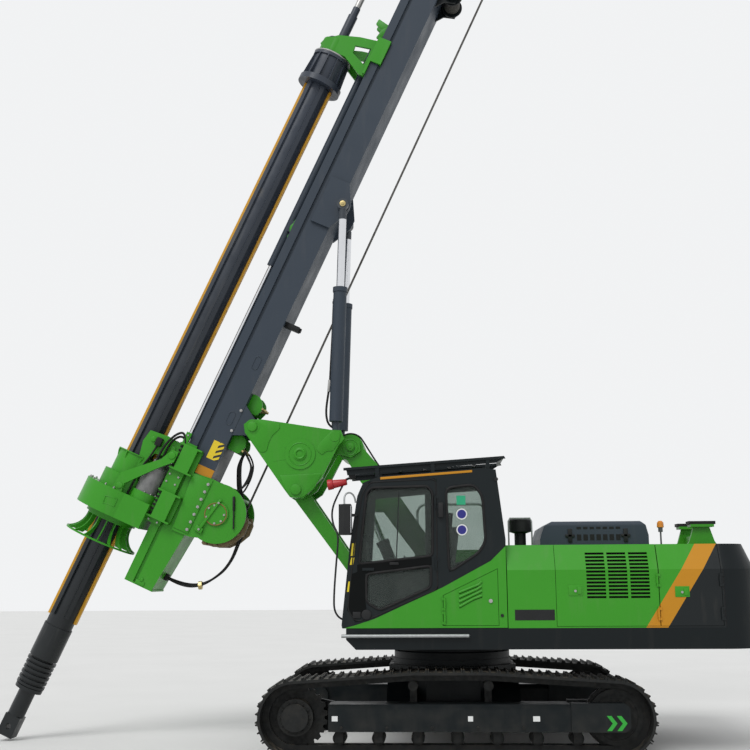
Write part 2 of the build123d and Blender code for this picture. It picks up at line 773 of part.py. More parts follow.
# Cab: a hollow shell, side view outlines in (X, Z)
cab_base_z = deck_high_z + seat_gap
cab_side = [(1247, 1432), (1153, 2313), (1066, 2875), (999, 3026), (808, 3099), (-368, 3181),
            (-518, 3161), (-609, 2374), (-609, cab_base_z), (1240, cab_base_z)]
cab_low_edge = [(1229, 1400), (1098, 1432), (875, 1503), (595, 1629), (109, 1845), (-436, 2135), (-607, 2300)]
cab_frame_side = cab_side[:8] + [(-607, 2300)] + cab_low_edge[::-1][1:] + [(1240, 1400)]
door_outline = [(165, 1826), (595, 1650), (865, 1528), (1085, 1470), (1178, 1600), (1100, 2330),
                (1010, 2900), (925, 3030), (165, 3060)]
upper_window = [(1050, 2108), (961, 2911), (904, 2968), (259, 2980), (204, 2904), (215, 2195)]
lower_window = [(966, 1997), (235, 2084), (239, 1846), (818, 1594), (967, 1686)]
rear_window = [(52, 2959), (-269, 2993), (-360, 2861), (-385, 2357), (-308, 2228), (32, 2010)]
cab_frame_y = deck_half_width - cab_side_frame
cab_inside = [(1185, 1520), (1095, 2320), (1010, 2860), (950, 2985), (800, 3045), (-368, 3125),
              (-470, 3108), (-560, 2370), (-560, cab_base_z + cab_floor), (1190, cab_base_z + cab_floor)]


cab_door_knuckles = (2060, 2760)
windscreen_y = (cab_inner_y + 90, cab_frame_y - 40)
windscreen_z = (1620, 2840)
back_light_y = (cab_inner_y + 120, cab_frame_y - 90)
back_light_z = (2420, 3000)
right_windows = ([(950, 2080), (900, 2900), (300, 2950), (300, 2080)],
                 [(220, 2080), (220, 2955), (-400, 2990), (-440, 2200)])
with BuildPart() as cab_shell:
    prism(cab_side, cab_inner_y, cab_frame_y)
    prism(cab_frame_side, cab_frame_y, deck_half_width)
    prism(cab_inside, cab_inner_y + cab_wall, cab_frame_y, mode=Mode.SUBTRACT)
    prism(door_outline, cab_frame_y - 1, deck_half_width + 1, grow=move_gap, mode=Mode.SUBTRACT)
    prism(rear_window, cab_frame_y - 1, deck_half_width + 1, mode=Mode.SUBTRACT)
    block((900, 1300), windscreen_y, windscreen_z, mode=Mode.SUBTRACT)
    block((-700, -500), back_light_y, back_light_z, mode=Mode.SUBTRACT)
    for outline in right_windows:
        prism(outline, cab_inner_y - 1, cab_inner_y + cab_wall + 1, mode=Mode.SUBTRACT)
    for z in cab_door_knuckles:
        hinge_posts(door_outline[0][0] - move_gap, door_outline[0][0] + hinge_inset, 1, z)
keep(cab_shell, "cab_shell")

# Window panes of the cab, set in the middle of their walls
pane_step = 22.0


def pane_strip(edge, depth):
    """A thin side view strip that follows a front or rear edge of the cab."""
    outer = [(x - depth, z) for x, z in edge]
    inner = [(x - depth - glass, z) for x, z in reversed(edge)]
    return outer + inner


with BuildPart() as cab_glass:
    front_edge = [(1227, windscreen_z[0] + seat_gap), (1153, 2313), (1071.5, windscreen_z[1] - seat_gap)]
    prism(pane_strip(front_edge, pane_step), windscreen_y[0] + seat_gap, windscreen_y[1] - seat_gap)
    rear_edge = [(-604, back_light_z[0] + seat_gap), (-537, back_light_z[1] - seat_gap)]
    prism(pane_strip(rear_edge, -pane_step - glass), back_light_y[0] + seat_gap, back_light_y[1] - seat_gap)
    for outline in right_windows:
        prism(outline, cab_inner_y + pane_step, cab_inner_y + pane_step + glass, grow=-seat_gap)
    prism(rear_window, deck_half_width - 10 - glass, deck_half_width - 10, grow=-seat_gap)
keep(cab_glass, "cab_glass")

# Cab door with its two window openings, hinge knuckles and panes
with BuildPart() as cab_door:
    prism(door_outline, deck_half_width - door_thickness, deck_half_width)
    for outline in (upper_window, lower_window):
        prism(outline, deck_half_width - door_thickness - 1, deck_half_width + 1, mode=Mode.SUBTRACT)
    for z in cab_door_knuckles:
        knuckle(door_outline[0][0] + hinge_inset, 1, z)
    block((880, 1010), (deck_half_width - 4, deck_half_width + 24), (2035, 2065))
keep(cab_door, "cab_door")

with BuildPart() as cab_door_glass:
    for outline in (upper_window, lower_window):
        prism(outline, deck_half_width - 12 - glass, deck_half_width - 12, grow=-seat_gap)
keep(cab_door_glass, "cab_door_glass")

# Falling object guard over the cab roof
with BuildPart() as cab_guard:
    guard_top = [(1228, 3175), (1228, 3203), (-620, 3321), (-636, 3293)]
    for low, high in ((cab_inner_y + 20, cab_inner_y + 60), (deck_half_width - 80, deck_half_width - 40)):
        prism(guard_top, low, high)
    bar_count = 7
    for number in range(bar_count):
        share = number / (bar_count - 1)
        x = 1180 - share * 1770
        z = 3188 + share * 113
        block((x - 20, x + 20), (cab_inner_y + 30, deck_half_width - 50), (z - 14, z + 8))
    for x, low, high in ((840, 3096, 3215), (200, 3143.3, 3255), (-430, 3176, 3290)):
        for y in (cab_inner_y + 25, deck_half_width - 75):
            block((x - 22, x + 22), (y, y + 30), (low, high))
keep(cab_guard, "cab_guard")

# Seat and control consoles
cab_middle_y = (cab_inner_y + cab_frame_y) / 2
cab_floor_z = cab_base_z + cab_floor
with BuildPart() as seat:
    block((50, 450), (cab_middle_y - 190, cab_middle_y + 190), (cab_floor_z + seat_gap, cab_floor_z + 300))
    block((0, 520), (cab_middle_y - 245, cab_middle_y + 245), (cab_floor_z + 300, cab_floor_z + 430))
    prism([(0, cab_floor_z + 390), (130, cab_floor_z + 390), (30, cab_floor_z + 1080), (-100, cab_floor_z + 1080)],
          cab_middle_y - 235, cab_middle_y + 235)
    prism([(-15, cab_floor_z + 1090), (70, cab_floor_z + 1090), (45, cab_floor_z + 1250),
           (-30, cab_floor_z + 1250)], cab_middle_y - 130, cab_middle_y + 130)
    block((0, 30), (cab_middle_y - 60, cab_middle_y + 60), (cab_floor_z + 1040, cab_floor_z + 1120))
keep(seat, "seat")

with BuildPart() as consoles:
    for side in (1, -1):
        y = sorted((cab_middle_y + side * 275, cab_middle_y + side * 365))
        block((60, 620), y, (cab_floor_z + seat_gap, cab_floor_z + 560))
        with BuildSketch(Plane.XY.offset(cab_floor_z + 559)) as lever:
            with Locations((540, cab_middle_y + side * 320)):
                Circle(20)
        extrude(lever.sketch, amount=200, taper=4)
    block((960, 1060), (cab_middle_y + 190, cab_middle_y + 330), (cab_floor_z + seat_gap, cab_floor_z + 900))
keep(consoles, "consoles")

# Green side cover below the cab, and its louvred door
louvre_outline = [(101, 1754), (-507, 2043), (-509, 1426), (107, 1428)]
cover_outline = [(1229, 1399)] + cab_low_edge[1:] + [(-607, 1399)]
cover_thickness = 50.0
louvre_knuckles = (1470, 1620)
with BuildPart() as side_cover:
    prism(cover_outline, deck_half_width - cover_thickness, deck_half_width, grow=-1.0)
    prism(louvre_outline, deck_half_width - cover_thickness - 1, deck_half_width + 1, grow=move_gap,
          mode=Mode.SUBTRACT)
    for z in louvre_knuckles:
        hinge_posts(louvre_outline[0][0] + move_gap, louvre_outline[0][0] - hinge_inset, 1, z)
keep(side_cover, "side_cover")

louvre_rows = 4
with BuildPart() as louvre_door:
    prism(louvre_outline, deck_half_width - door_thickness, deck_half_width)
    for row in range(louvre_rows):
        low = 1610 + row * 52
        prism([(-75, low), (-230 - row * 20, low + 85), (-330, low + 120), (-330, low + 142),
               (-235 - row * 20, low + 108), (-75, low + 22)],
              deck_half_width - 60, deck_half_width + 1, mode=Mode.SUBTRACT)
    for z in louvre_knuckles:
        knuckle(louvre_outline[0][0] - hinge_inset, 1, z)
keep(louvre_door, "louvre_door")

# Small fittings of the upper structure
with BuildPart() as pre_cleaner:
    with BuildSketch(Plane.XZ.offset(-300)) as half_profile:
        with BuildLine():
            Polyline((-860, house_high_z + seat_gap), (-790, house_high_z + seat_gap), (-790, 2480), (-725, 2500),
                     (-715, 2640), (-760, 2670), (-860, 2670), close=True)
        make_face()
    revolve(half_profile.sketch, axis=Axis((-860, 300, 0), (0, 0, 1)))
keep(pre_cleaner, "pre_cleaner")

with BuildPart() as beacon:
    with BuildSketch(Plane.XZ.offset(-900)) as half_profile:
        with BuildLine():
            Polyline((-2445, house_high_z + seat_gap), (-2413, house_high_z + seat_gap), (-2413, 2320), (-2435, 2322),
                     (-2435, 2460), (-2419, 2462), (-2419, 2510), (-2405, 2516), (-2408, 2570), (-2425, 2590),
                     (-2445, 2590), close=True)
        make_face()
    revolve(half_profile.sketch, axis=Axis((-2445, 900, 0), (0, 0, 1)))
keep(beacon, "beacon")

rest_z = house_high_z + seat_gap
with BuildPart() as mast_rest:
    prisms([(-3240, rest_z), (-2860, rest_z), (-2900, rest_z + 60), (-2960, rest_z + 250), (-3140, rest_z + 250),
            (-3200, rest_z + 60)], 300, 345)
    block((-3120, -2980), (-300, 300), (rest_z, rest_z + 130))
    for side in (1, -1):
        y = sorted((side * 225, side * 400))
        block((-3190, -2910), y, (rest_z + 230, rest_z + 262))
keep(mast_rest, "mast_rest")

with BuildPart() as rest_pads:
    for side in (1, -1):
        y = sorted((side * 230, side * 395))
        block((-3210, -2890), y, (rest_z + 262, rest_z + 300))
keep(rest_pads, "rest_pads")

# Grab rail along the deck's left edge and guard rail on the tank housing
rail_radius = 19.0
with BuildPart() as deck_rail:
    rail_y = deck_half_width + 38
    with BuildSketch(Plane.YZ.offset(-175)) as tube:
        with Locations((rail_y, 1316)):
            Circle(rail_radius)
    extrude(tube.sketch, amount=1420)
    for x in (-140, 535, 1120):
        block((x - 15, x + 15), (deck_half_width + seat_gap, rail_y), (1304, 1328))
    rail_points = [(420, house_high_z + seat_gap), (420, 2950), (-520, 2950), (-520, house_high_z + seat_gap)]
    with BuildLine(side_plane(180 - deck_half_width)) as route:
        FilletPolyline(*rail_points, radius=120)
    with BuildSketch(Plane(origin=route.line @ 0, z_dir=route.line % 0)) as section:
        Circle(rail_radius)
    sweep(section.sketch, path=route.line)
keep(deck_rail, "deck_rail")

with BuildPart() as mirror:
    with BuildSketch(Plane.XY.offset(2430)) as housing:
        with BuildLine():
            Polyline((1125, 1490), (1200, 1490), (1262, 1520), (1262, 1620), (1200, 1670), (1125, 1670), close=True)
        make_face()
    extrude(housing.sketch, amount=340)
    block((1066, 1140), (deck_half_width + seat_gap, 1491), (2640, 2670))
keep(mirror, "mirror")

# Boom: a welded box with round ends and its pins
with BuildPart() as boom:
    prism(beam_outline(boom_foot, head_pin, 118, 150, 0, 330), -arm_half_width, arm_half_width)
    prism(beam_outline(boom_foot, head_pin, 150, 118, 1500, 0), -arm_half_width, arm_half_width)
    disc(boom_foot, 125, -arm_half_width, arm_half_width)
    disc(head_pin, 165, -arm_half_width, arm_half_width)
    disc(boom_foot, linkage_pin, -cheek_inner - 95, cheek_inner + 95)
    disc(head_pin, linkage_pin, -cheek_outer - 20, cheek_outer + 20)
    (bx, bz), boom_length = along(boom_foot, head_pin)
    luff_eye = (boom_foot[0] + bx * luff_reach + bz * luff_drop, boom_foot[1] + bz * luff_reach - bx * luff_drop)
    foot_of_clevis = [(boom_foot[0] + bx * d + bz * 100, boom_foot[1] + bz * d - bx * 100)
                      for d in (luff_reach - 170, luff_reach + 170)]
    clevis_outline = [foot_of_clevis[0], (luff_eye[0] - 50, luff_eye[1] - 45), (luff_eye[0] + 40, luff_eye[1] - 55),
                      (luff_eye[0] + 70, luff_eye[1] + 20), foot_of_clevis[1]]
    prisms(clevis_outline, 50, 90)
    discs(luff_eye, 45, 90, 104)
keep(boom, "boom")

# Support link: two arms with a cross tube
with BuildPart() as support_link:
    (lx, lz), link_length = along(foot_pin, link_pin)
    cross_share = 0.56
    prisms(beam_outline(foot_pin, link_pin, 58, 98, 0, 0), 200, arm_half_width)
    for centre, radius in ((foot_pin, 95), (link_pin, 118)):
        discs(centre, radius, 180, arm_half_width)
    middle = (foot_pin[0] + lx * link_length * cross_share, foot_pin[1] + lz * link_length * cross_share)
    disc(middle, 62, -201, 201)
    disc(foot_pin, linkage_pin, -cheek_inner - 95, cheek_inner + 95)
    disc(link_pin, linkage_pin, -triangle_outer - 20, triangle_outer + 20)
keep(support_link, "support_link")

# Triangle: inner and outer plates each side, closed at the edges, open at the cylinder
inner_plate = [(2475, 3905), (2340, 3912), (1440, 3755), (1290, 3690), (1110, 3640), (1100, 3520), (1215, 3440),
               (1380, 3480), (1640, 3020), (1790, 2925), (1960, 2940), (2035, 3040), (2530, 3745), (2545, 3850)]
outer_plate = [(2475, 3905), (2340, 3912), (1440, 3765), (1330, 3760), (1288, 3650), (1360, 3570), (1560, 3180),
               (1790, 2925), (1960, 2940), (2035, 3040), (2530, 3745), (2545, 3850)]
with BuildPart() as triangle:
    prisms(inner_plate, cheek_inner, cheek_outer)
    prisms(outer_plate, triangle_outer - triangle_skin, triangle_outer)
    prisms([(2475, 3905), (2340, 3912), (1900, 3846), (1900, 3790), (2330, 3852), (2440, 3850)],
           cheek_outer, triangle_outer - triangle_skin)
    prisms([(2035, 3040), (2530, 3745), (2545, 3850), (2440, 3850), (1940, 3085), (1870, 3060), (1790, 3060),
            (1640, 3400), (1560, 3400), (1560, 3180), (1790, 2925), (1960, 2940)],
           cheek_outer, triangle_outer - triangle_skin)
    for centre, radius in ((mast_pin, 92), (link_pin, 100), (tube_pin, 190)):
        discs(centre, radius, cheek_inner, triangle_outer + 12)
    disc(tube_pin, 140, -cheek_inner - 1, cheek_inner + 1)
    discs(tip_pin, 62, triangle_outer, triangle_outer + 14)
    discs(tip_pin, 45 - pin_gap, cheek_outer - 1, triangle_outer - triangle_skin + 1)
    discs(head_pin, linkage_pin + pin_gap, cheek_inner - 1, cheek_outer + 1, mode=Mode.SUBTRACT)
    for centre in (mast_pin, link_pin):
        discs(centre, linkage_pin + pin_gap, cheek_inner - 1, triangle_outer + 13, mode=Mode.SUBTRACT)
keep(triangle, "triangle")


def hollow_barrel(start, end, y, radius, bore, body_start, length, eye_radius, eye_half, pin_radius):
    """A cylinder barrel with its base eye, open at the rod's end."""
    bar(start, end, y, radius, body_start, length)
    bar(start, end, y, eye_half - 1, eye_radius - 20, body_start + 1)
    bar(start, end, y, bore, body_start + barrel_bottom, length + 1, mode=Mode.SUBTRACT)
    disc(start, eye_radius, y - eye_half, y + eye_half)
    disc(start, pin_radius, y - eye_half - 1, y + eye_half + 1, mode=Mode.SUBTRACT)
    bar(start, end, y, radius + 9, length - 60, length)
    bar(start, end, y, bore, length - 61, length + 1, mode=Mode.SUBTRACT)


# Luffing cylinder between the deck and the boom
luff_bore = 60.0
_, luff_length = along(luff_base, luff_eye)
with BuildPart() as luff_barrel:
    hollow_barrel(luff_base, luff_eye, 0, luff_barrel_radius, luff_bore, 125, luff_barrel_length, 65, 55,
                  40 + pin_gap)
    disc(luff_base, 40, -115, 115)
keep(luff_barrel, "luff_barrel")

with BuildPart() as luff_rod:
    bar(luff_base, luff_eye, 0, luff_rod_radius, luff_length - luff_rod_length, luff_length - 30)
    bar(luff_base, luff_eye, 0, luff_bore - seat_gap, luff_length - luff_rod_length,
        luff_length - luff_rod_length + 90)
    disc(luff_eye, 60, -49.7, 49.7)
keep(luff_rod, "luff_rod")

# Mast cylinders from the triangle's tips to the mast
mast_eye_point = (mast_point(*mast_eye)[0], mast_point(*mast_eye)[2])
_, mast_cylinder_length = along(tip_pin, mast_eye_point)
with BuildPart() as mast_barrels:
    for side in (1, -1):
        hollow_barrel(tip_pin, mast_eye_point, side * mast_cylinder_y, mast_cylinder_radius, mast_cylinder_bore,
                      200, mast_barrel_length, 70, eye_half_width, 45)
keep(mast_barrels, "mast_barrels")

with BuildPart() as mast_rods:
    for side in (1, -1):
        y = side * mast_cylinder_y
        start = mast_cylinder_length - mast_rod_length
        bar(tip_pin, mast_eye_point, y, mast_rod_radius, start, mast_cylinder_length - 90)
        bar(tip_pin, mast_eye_point, y, eye_half_width - 1, mast_cylinder_length - 91, mast_cylinder_length - 40)
        bar(tip_pin, mast_eye_point, y, mast_cylinder_bore - seat_gap, start, start + 120)
        disc(mast_eye_point, 72, y - eye_half_width, y + eye_half_width)
keep(mast_rods, "mast_rods")


def mast_profile(s, wall=mast_wall):
    """The mast's cross section: a box with a guide rail on each front corner."""
    with BuildSketch(mast_section(s)) as profile:
        with BuildLine():
            half = [(mast_rear_t, mast_half_width), (mast_box_t, mast_half_width), (mast_box_t, rail_neck_y),
                    (mast_groove_t, rail_neck_y), (mast_groove_t, mast_half_width), (mast_front_t, mast_half_width),
                    (mast_front_t, rail_inner_y), (mast_box_t, rail_inner_y)]
            Polyline(*half, *[(t, -y) for t, y in reversed(half)], close=True)
        make_face()
        with Locations(((mast_rear_t + mast_box_t) / 2, 0)):
            Rectangle(mast_box_t - mast_rear_t - 2 * wall, 2 * (mast_half_width - wall), mode=Mode.SUBTRACT)
    return profile.sketch


# Lower mast with its foot plate, and the main mast with pin lugs and cylinder brackets
with BuildPart() as mast_lower:
    extrude(mast_profile(mast_low_s + 20), amount=mast_split_s - mast_low_s - 20)
    prism([(mast_rear_t - 1, taper_s), (mast_rear_t, taper_s), (foot_rear_t, mast_low_s + 20),
           (foot_rear_t, mast_low_s + 19), (mast_rear_t - 1, mast_low_s + 19)],
          -mast_half_width - 1, mast_half_width + 1, plane_at=mast_side, mode=Mode.SUBTRACT)
    prism([(mast_rear_t, taper_s), (mast_rear_t + mast_wall, taper_s),
           (foot_rear_t + mast_wall, mast_low_s + 20), (foot_rear_t, mast_low_s + 20)],
          -mast_half_width, mast_half_width, plane_at=mast_side)
    mast_block((foot_rear_t - 10, mast_front_t), (-mast_half_width, mast_half_width),
               (mast_low_s, mast_low_s + 20))
    mast_block((mast_rear_t, mast_box_t), (-mast_half_width, mast_half_width), (mast_split_s - 25, mast_split_s))
keep(mast_lower, "mast_lower")

with BuildPart() as mast:
    extrude(mast_profile(mast_split_s), amount=mast_high_s - mast_split_s)
    for s in (mast_split_s, mast_high_s - 25):
        mast_block((mast_rear_t, mast_box_t), (-mast_half_width, mast_half_width), (s, s + 25))
    prisms([(mast_rear_t + 1, -190), (mast_rear_t + 1, 230), (60, 110), (-80, 70), (-95, -30), (-40, -95),
            (60, -110)], 225, arm_half_width, plane_at=mast_side)
    discs((0, 0), 90, 205, arm_half_width, plane_at=mast_side)
    disc((0, 0), linkage_pin, -triangle_outer - 20, triangle_outer + 20, plane_at=mast_side)
    eye_t, eye_s = mast_eye
    prisms([(mast_box_t - 40, eye_s - 330), (mast_box_t - 40, eye_s + 330), (mast_rear_t, eye_s + 330),
            (eye_t - 75, eye_s + 70), (eye_t - 75, eye_s - 70), (mast_rear_t, eye_s - 330)],
           mast_half_width - 1, mast_half_width + 40, plane_at=mast_side)
    discs(mast_eye, 80, mast_half_width, mast_cylinder_y - mast_rod_radius - move_gap, plane_at=mast_side)
keep(mast, "mast")

# Mast head: side plates that carry the two rope sheaves
head_plate = [(mast_box_t, mast_high_s + 1), (mast_box_t, mast_high_s + 60),
              (front_sheave[0] + 90, front_sheave[1] - 120), (front_sheave[0] + 150, front_sheave[1]), (front_sheave[0] + 90, head_high_s - 120),
              (mast_box_t - 50, head_high_s), (mast_rear_t + 60, head_high_s), (rear_sheave[0] - 90, head_high_s - 130),
              (rear_sheave[0] - 150, rear_sheave[1]), (rear_sheave[0] - 60, rear_sheave[1] - 130),
              (mast_rear_t, mast_high_s + 1)]
head_inner_y = 120.0
with BuildPart() as mast_head:
    mast_block((mast_rear_t + 20, mast_box_t), (-mast_half_width, mast_half_width), (mast_high_s, mast_high_s + 30))
    prisms(head_plate, head_inner_y, head_inner_y + 30, plane_at=mast_side)
    mast_block((mast_rear_t + 90, mast_box_t - 60), (-head_inner_y - 1, head_inner_y + 1),
               (mast_high_s + 29, mast_high_s + 260))
    for centre in (front_sheave, rear_sheave):
        disc(centre, 40, -head_inner_y - 60, head_inner_y + 60, plane_at=mast_side)
keep(mast_head, "mast_head")

sheave_names = (("front_sheave", front_sheave), ("rear_sheave", rear_sheave))
for name, centre in sheave_names:
    with BuildPart() as sheave:
        disc(centre, sheave_radius, -sheave_width / 2, sheave_width / 2, plane_at=mast_side)
        with BuildSketch(mast_section(centre[1], centre[0])) as groove:
            with Locations((sheave_radius + 8, 0)):
                Circle(26)
        revolve(groove.sketch, axis=Axis(mast_point(*centre), (0, 1, 0)), mode=Mode.SUBTRACT)
        disc(centre, 62, -head_inner_y + move_gap, head_inner_y - move_gap, plane_at=mast_side)
        disc(centre, 40 + seat_gap, -head_inner_y, head_inner_y, plane_at=mast_side, mode=Mode.SUBTRACT)
    keep(sheave, name)

# Main winch: side plates on the lower mast, drum between them
winch = (winch_t, winch_s)
with BuildPart() as main_winch:
    prisms([(455, -815), (420, -1570), (190, -1560), (85, -1530), (30, -800), (224, -790)],
           winch_plate_y, winch_plate_y + winch_plate, plane_at=mast_side)
    discs((-10, winch_s), 375, winch_plate_y, winch_plate_y + winch_plate, plane_at=mast_side)
    discs((-15, winch_s), 150, winch_plate_y + winch_plate - 1, winch_plate_y + winch_plate + 22,
          plane_at=mast_side)
    disc((110, winch_s - 345), 30, -winch_plate_y - 1, winch_plate_y + 1, plane_at=mast_side)
    disc((-230, winch_s + 275), 24, -winch_plate_y - 1, winch_plate_y + 1, plane_at=mast_side)
    disc((mast_rear_t - 45, winch_s + 340), 24, -winch_plate_y - 1, winch_plate_y + 1, plane_at=mast_side)
keep(main_winch, "main_winch")

with BuildPart() as main_drum:
    disc(winch, winch_drum_radius, -270, 270, plane_at=mast_side)
    discs(winch, winch_flange_radius, 255, 285, plane_at=mast_side)
    disc(winch, 90, seat_gap - winch_plate_y, winch_plate_y - seat_gap, plane_at=mast_side)
keep(main_drum, "main_drum")

aux = (aux_t, aux_s)
with BuildPart() as aux_winch:
    prisms([(mast_rear_t - seat_gap, aux_s - 260), (mast_rear_t - seat_gap, aux_s + 260), (aux_t + 60, aux_s + 150),
            (aux_t - 90, aux_s + 110), (aux_t - 90, aux_s - 110), (aux_t + 60, aux_s - 150)],
           190, 215, plane_at=mast_side)
    discs(aux, 105, 214, 250, plane_at=mast_side)
keep(aux_winch, "aux_winch")

with BuildPart() as aux_drum:
    disc(aux, aux_drum_radius, -160, 160, plane_at=mast_side)
    discs(aux, aux_flange_radius, 150, 170, plane_at=mast_side)
    disc(aux, 40, seat_gap - 190, 190 - seat_gap, plane_at=mast_side)
keep(aux_drum, "aux_drum")

# Crowd cylinder barrel in front of the rails
with BuildPart() as crowd_barrel:
    rod(crowd_t, 0, crowd_barrel_radius, crowd_low_s, crowd_low_s + crowd_barrel_length)
    for s in (crowd_low_s + 583, crowd_low_s + crowd_barrel_length - 200):
        for side in (1, -1):
            y = sorted((side * 30, side * 110))
            mast_block((mast_box_t + seat_gap, crowd_t - 10), y, (s - 80, s + 80))
    rod(crowd_t, 0, crowd_bore, crowd_low_s - 1, crowd_low_s + crowd_barrel_length - 60, mode=Mode.SUBTRACT)
keep(crowd_barrel, "crowd_barrel")


def slide_pad(side, low, high):
    """A wear pad that runs on the front face of one rail."""
    y = sorted((side * (rail_inner_y + 10), side * (mast_half_width - 10)))
    mast_block((mast_front_t + seat_gap, carriage_plate_t + 1), y, (low, high))


# Carriage: guide claws round the rails and the plate that carries the drive
claw_outer = mast_half_width + move_gap + carriage_skin
claws = ((-880, -530), (-1530, -1160))
with BuildPart() as carriage:
    mast_block((carriage_plate_t, carriage_front_t), (-claw_outer, claw_outer), (carriage_low_s, -700))
    mast_block((carriage_plate_t, carriage_front_t - 25), (-claw_outer, claw_outer), (-700, -520))
    for side in (1, -1):
        slide_pad(side, carriage_low_s, carriage_low_s + 150)
        slide_pad(side, -700, -550)
        y = sorted((side * (mast_half_width + move_gap), side * claw_outer))
        mast_block((mast_box_t + 30, carriage_front_t), y, (carriage_low_s, carriage_high_s - 120))
        mast_block((carriage_plate_t, carriage_front_t), y, (carriage_high_s - 121, carriage_high_s))
        for low, high in claws:
            mast_block((mast_box_t - 75, mast_box_t + 31), y, (low, high))
            lip = sorted((side * (rail_neck_y + move_gap + 2), side * (mast_half_width + move_gap + 1)))
            mast_block((mast_box_t + move_gap + 2, mast_groove_t - move_gap - 2), lip, (low, high))
            flange = sorted((side * (claw_outer - 1), side * (claw_outer + 75)))
            for s in (low, high - 22):
                mast_block((mast_box_t - 75, carriage_front_t), flange, (s, s + 22))
            edge = sorted((side * (claw_outer + 53), side * (claw_outer + 75)))
            mast_block((mast_box_t - 20, carriage_front_t - 60), edge, (low, high))
keep(carriage, "carriage")


def radial_plane(angle, offset):
    """A plane through the kelly's axis at this angle, its own axes radius and s."""
    turn = math.radians(angle)
    outward = tuple(forward[k] * math.cos(turn) + (0, 1, 0)[k] * math.sin(turn) for k in range(3))
    normal = tuple(forward[k] * math.sin(turn) - (0, 1, 0)[k] * math.cos(turn) for k in range(3))
    return Plane(origin=mast_point(kelly_t, 0), x_dir=outward, z_dir=normal).offset(offset)


# Gearbox housing round the kelly, with the collar above it
with BuildPart() as gearbox:
    with BuildSketch(mast_section(gearbox_low_s)) as plan:
        with Locations((kelly_t, 0)):
            Circle(gearbox_radius)
        with BuildLine():
            Polyline((carriage_front_t, -450), (kelly_t + 120, -475), (kelly_t + 120, 475),
                     (carriage_front_t, 450), close=True)
        make_face()
    extrude(plan.sketch, amount=gearbox_high_s - gearbox_low_s)
    rod(kelly_t, 0, 330, gearbox_low_s - 55, gearbox_low_s + 1)
    rod(kelly_t, 0, 345, gearbox_high_s - 1, shoulder_high_s)
    rod(kelly_t, 0, collar_radius, shoulder_high_s - 1, collar_high_s)
    for number in range(collar_ribs):
        with BuildSketch(radial_plane(360 * (number + 0.5) / collar_ribs, -8)) as rib:
            with BuildLine():
                Polyline((collar_radius - 5, collar_high_s - 10),
                         (collar_radius + collar_flange, collar_high_s - 10),
                         (collar_radius + collar_flange, collar_high_s - 40),
                         (collar_radius - 5, collar_high_s - 130), close=True)
            make_face()
        extrude(rib.sketch, amount=16)
    rod(kelly_t, 0, collar_radius + collar_flange, collar_high_s - 12, collar_high_s)
    prisms([(carriage_front_t, -560), (985, -530), (1235, -552), (1266, -710), (1225, -905), (1235, -1292),
            (1120, -1292), (1115, -960), (1060, -800), (carriage_front_t, -760)], 236, 262, plane_at=mast_side)
    prisms([(735, -665), (820, -665), (900, -830), (1290, -1180), (1310, gearbox_high_s - 1),
            (1180, gearbox_high_s - 1), (1190, -1290), (900, -960), (735, -800)],
           claw_outer + 75 + seat_gap, claw_outer + 102, plane_at=mast_side)
    rod(kelly_t, 0, sleeve_radius + seat_gap, gearbox_low_s - 56, collar_high_s + 1, mode=Mode.SUBTRACT)
    for side in (1, -1):
        rod(motor_t, side * motor_y, motor_cup, gearbox_high_s - 1, gearbox_high_s + motor_flange)
        rod(motor_t, side * motor_y, motor_radius + move_gap, gearbox_high_s + motor_flange, shoulder_high_s + 1,
            mode=Mode.SUBTRACT)
keep(gearbox, "gearbox")

motor_low_s = gearbox_high_s + motor_flange + seat_gap
with BuildPart() as drive_motors:
    for side in (1, -1):
        for radius, low, high in ((motor_radius, 0, 330), (motor_radius - 20, 330, 350), (80, 350, 430)):
            rod(motor_t, side * motor_y, radius, motor_low_s + low, motor_low_s + high)
keep(drive_motors, "drive_motors")

# Crowd rod: from the carriage up into its barrel
with BuildPart() as crowd_rod:
    rod(crowd_t, 0, crowd_rod_radius, carriage_high_s - 60, carriage_high_s - 60 + crowd_rod_length)
    rod(crowd_t, 0, crowd_bore - seat_gap, carriage_high_s - 60 + crowd_rod_length,
        carriage_high_s + crowd_rod_length)
    mast_block((carriage_plate_t, crowd_t + 45), (-60, 60), (seat_gap - 520, carriage_high_s - 59))
keep(crowd_rod, "crowd_rod")

# Drive sleeve with its open bell of curved fins: it turns in the gearbox and drives the kelly
fin_count = 16
fin_thickness = 14.0
bell_flange = 300.0
bell_top_s = gearbox_low_s - 58
with BuildPart() as drive_sleeve:
    rod(kelly_t, 0, sleeve_radius, bell_top_s - 1, collar_high_s - 5)
    rod(kelly_t, 0, bell_flange, bell_top_s - 20, bell_top_s)
    rod(kelly_t, 0, sleeve_bore, bell_top_s - 21, collar_high_s, mode=Mode.SUBTRACT)
    rod(kelly_t, 0, bell_radius, bell_low_s - 20, bell_low_s)
    rod(kelly_t, 0, bell_radius - 45, bell_low_s - 21, bell_low_s + 1, mode=Mode.SUBTRACT)
    for number in range(fin_count):
        with BuildSketch(radial_plane(360 * (number + 0.5) / fin_count, -fin_thickness / 2)) as fin:
            with BuildLine():
                top, low = bell_top_s - 19, bell_low_s - 1
                ThreePointArc((bell_flange, top), (bell_flange + 42, low + 95), (bell_radius - 2, low))
                Line((bell_radius - 2, low), (bell_flange + 20, low))
                ThreePointArc((bell_flange + 20, low), (sleeve_radius + 23, low + 110), (sleeve_radius, top))
                Line((sleeve_radius, top), (bell_flange, top))
            make_face()
        extrude(fin.sketch, amount=fin_thickness)
keep(drive_sleeve, "drive_sleeve")

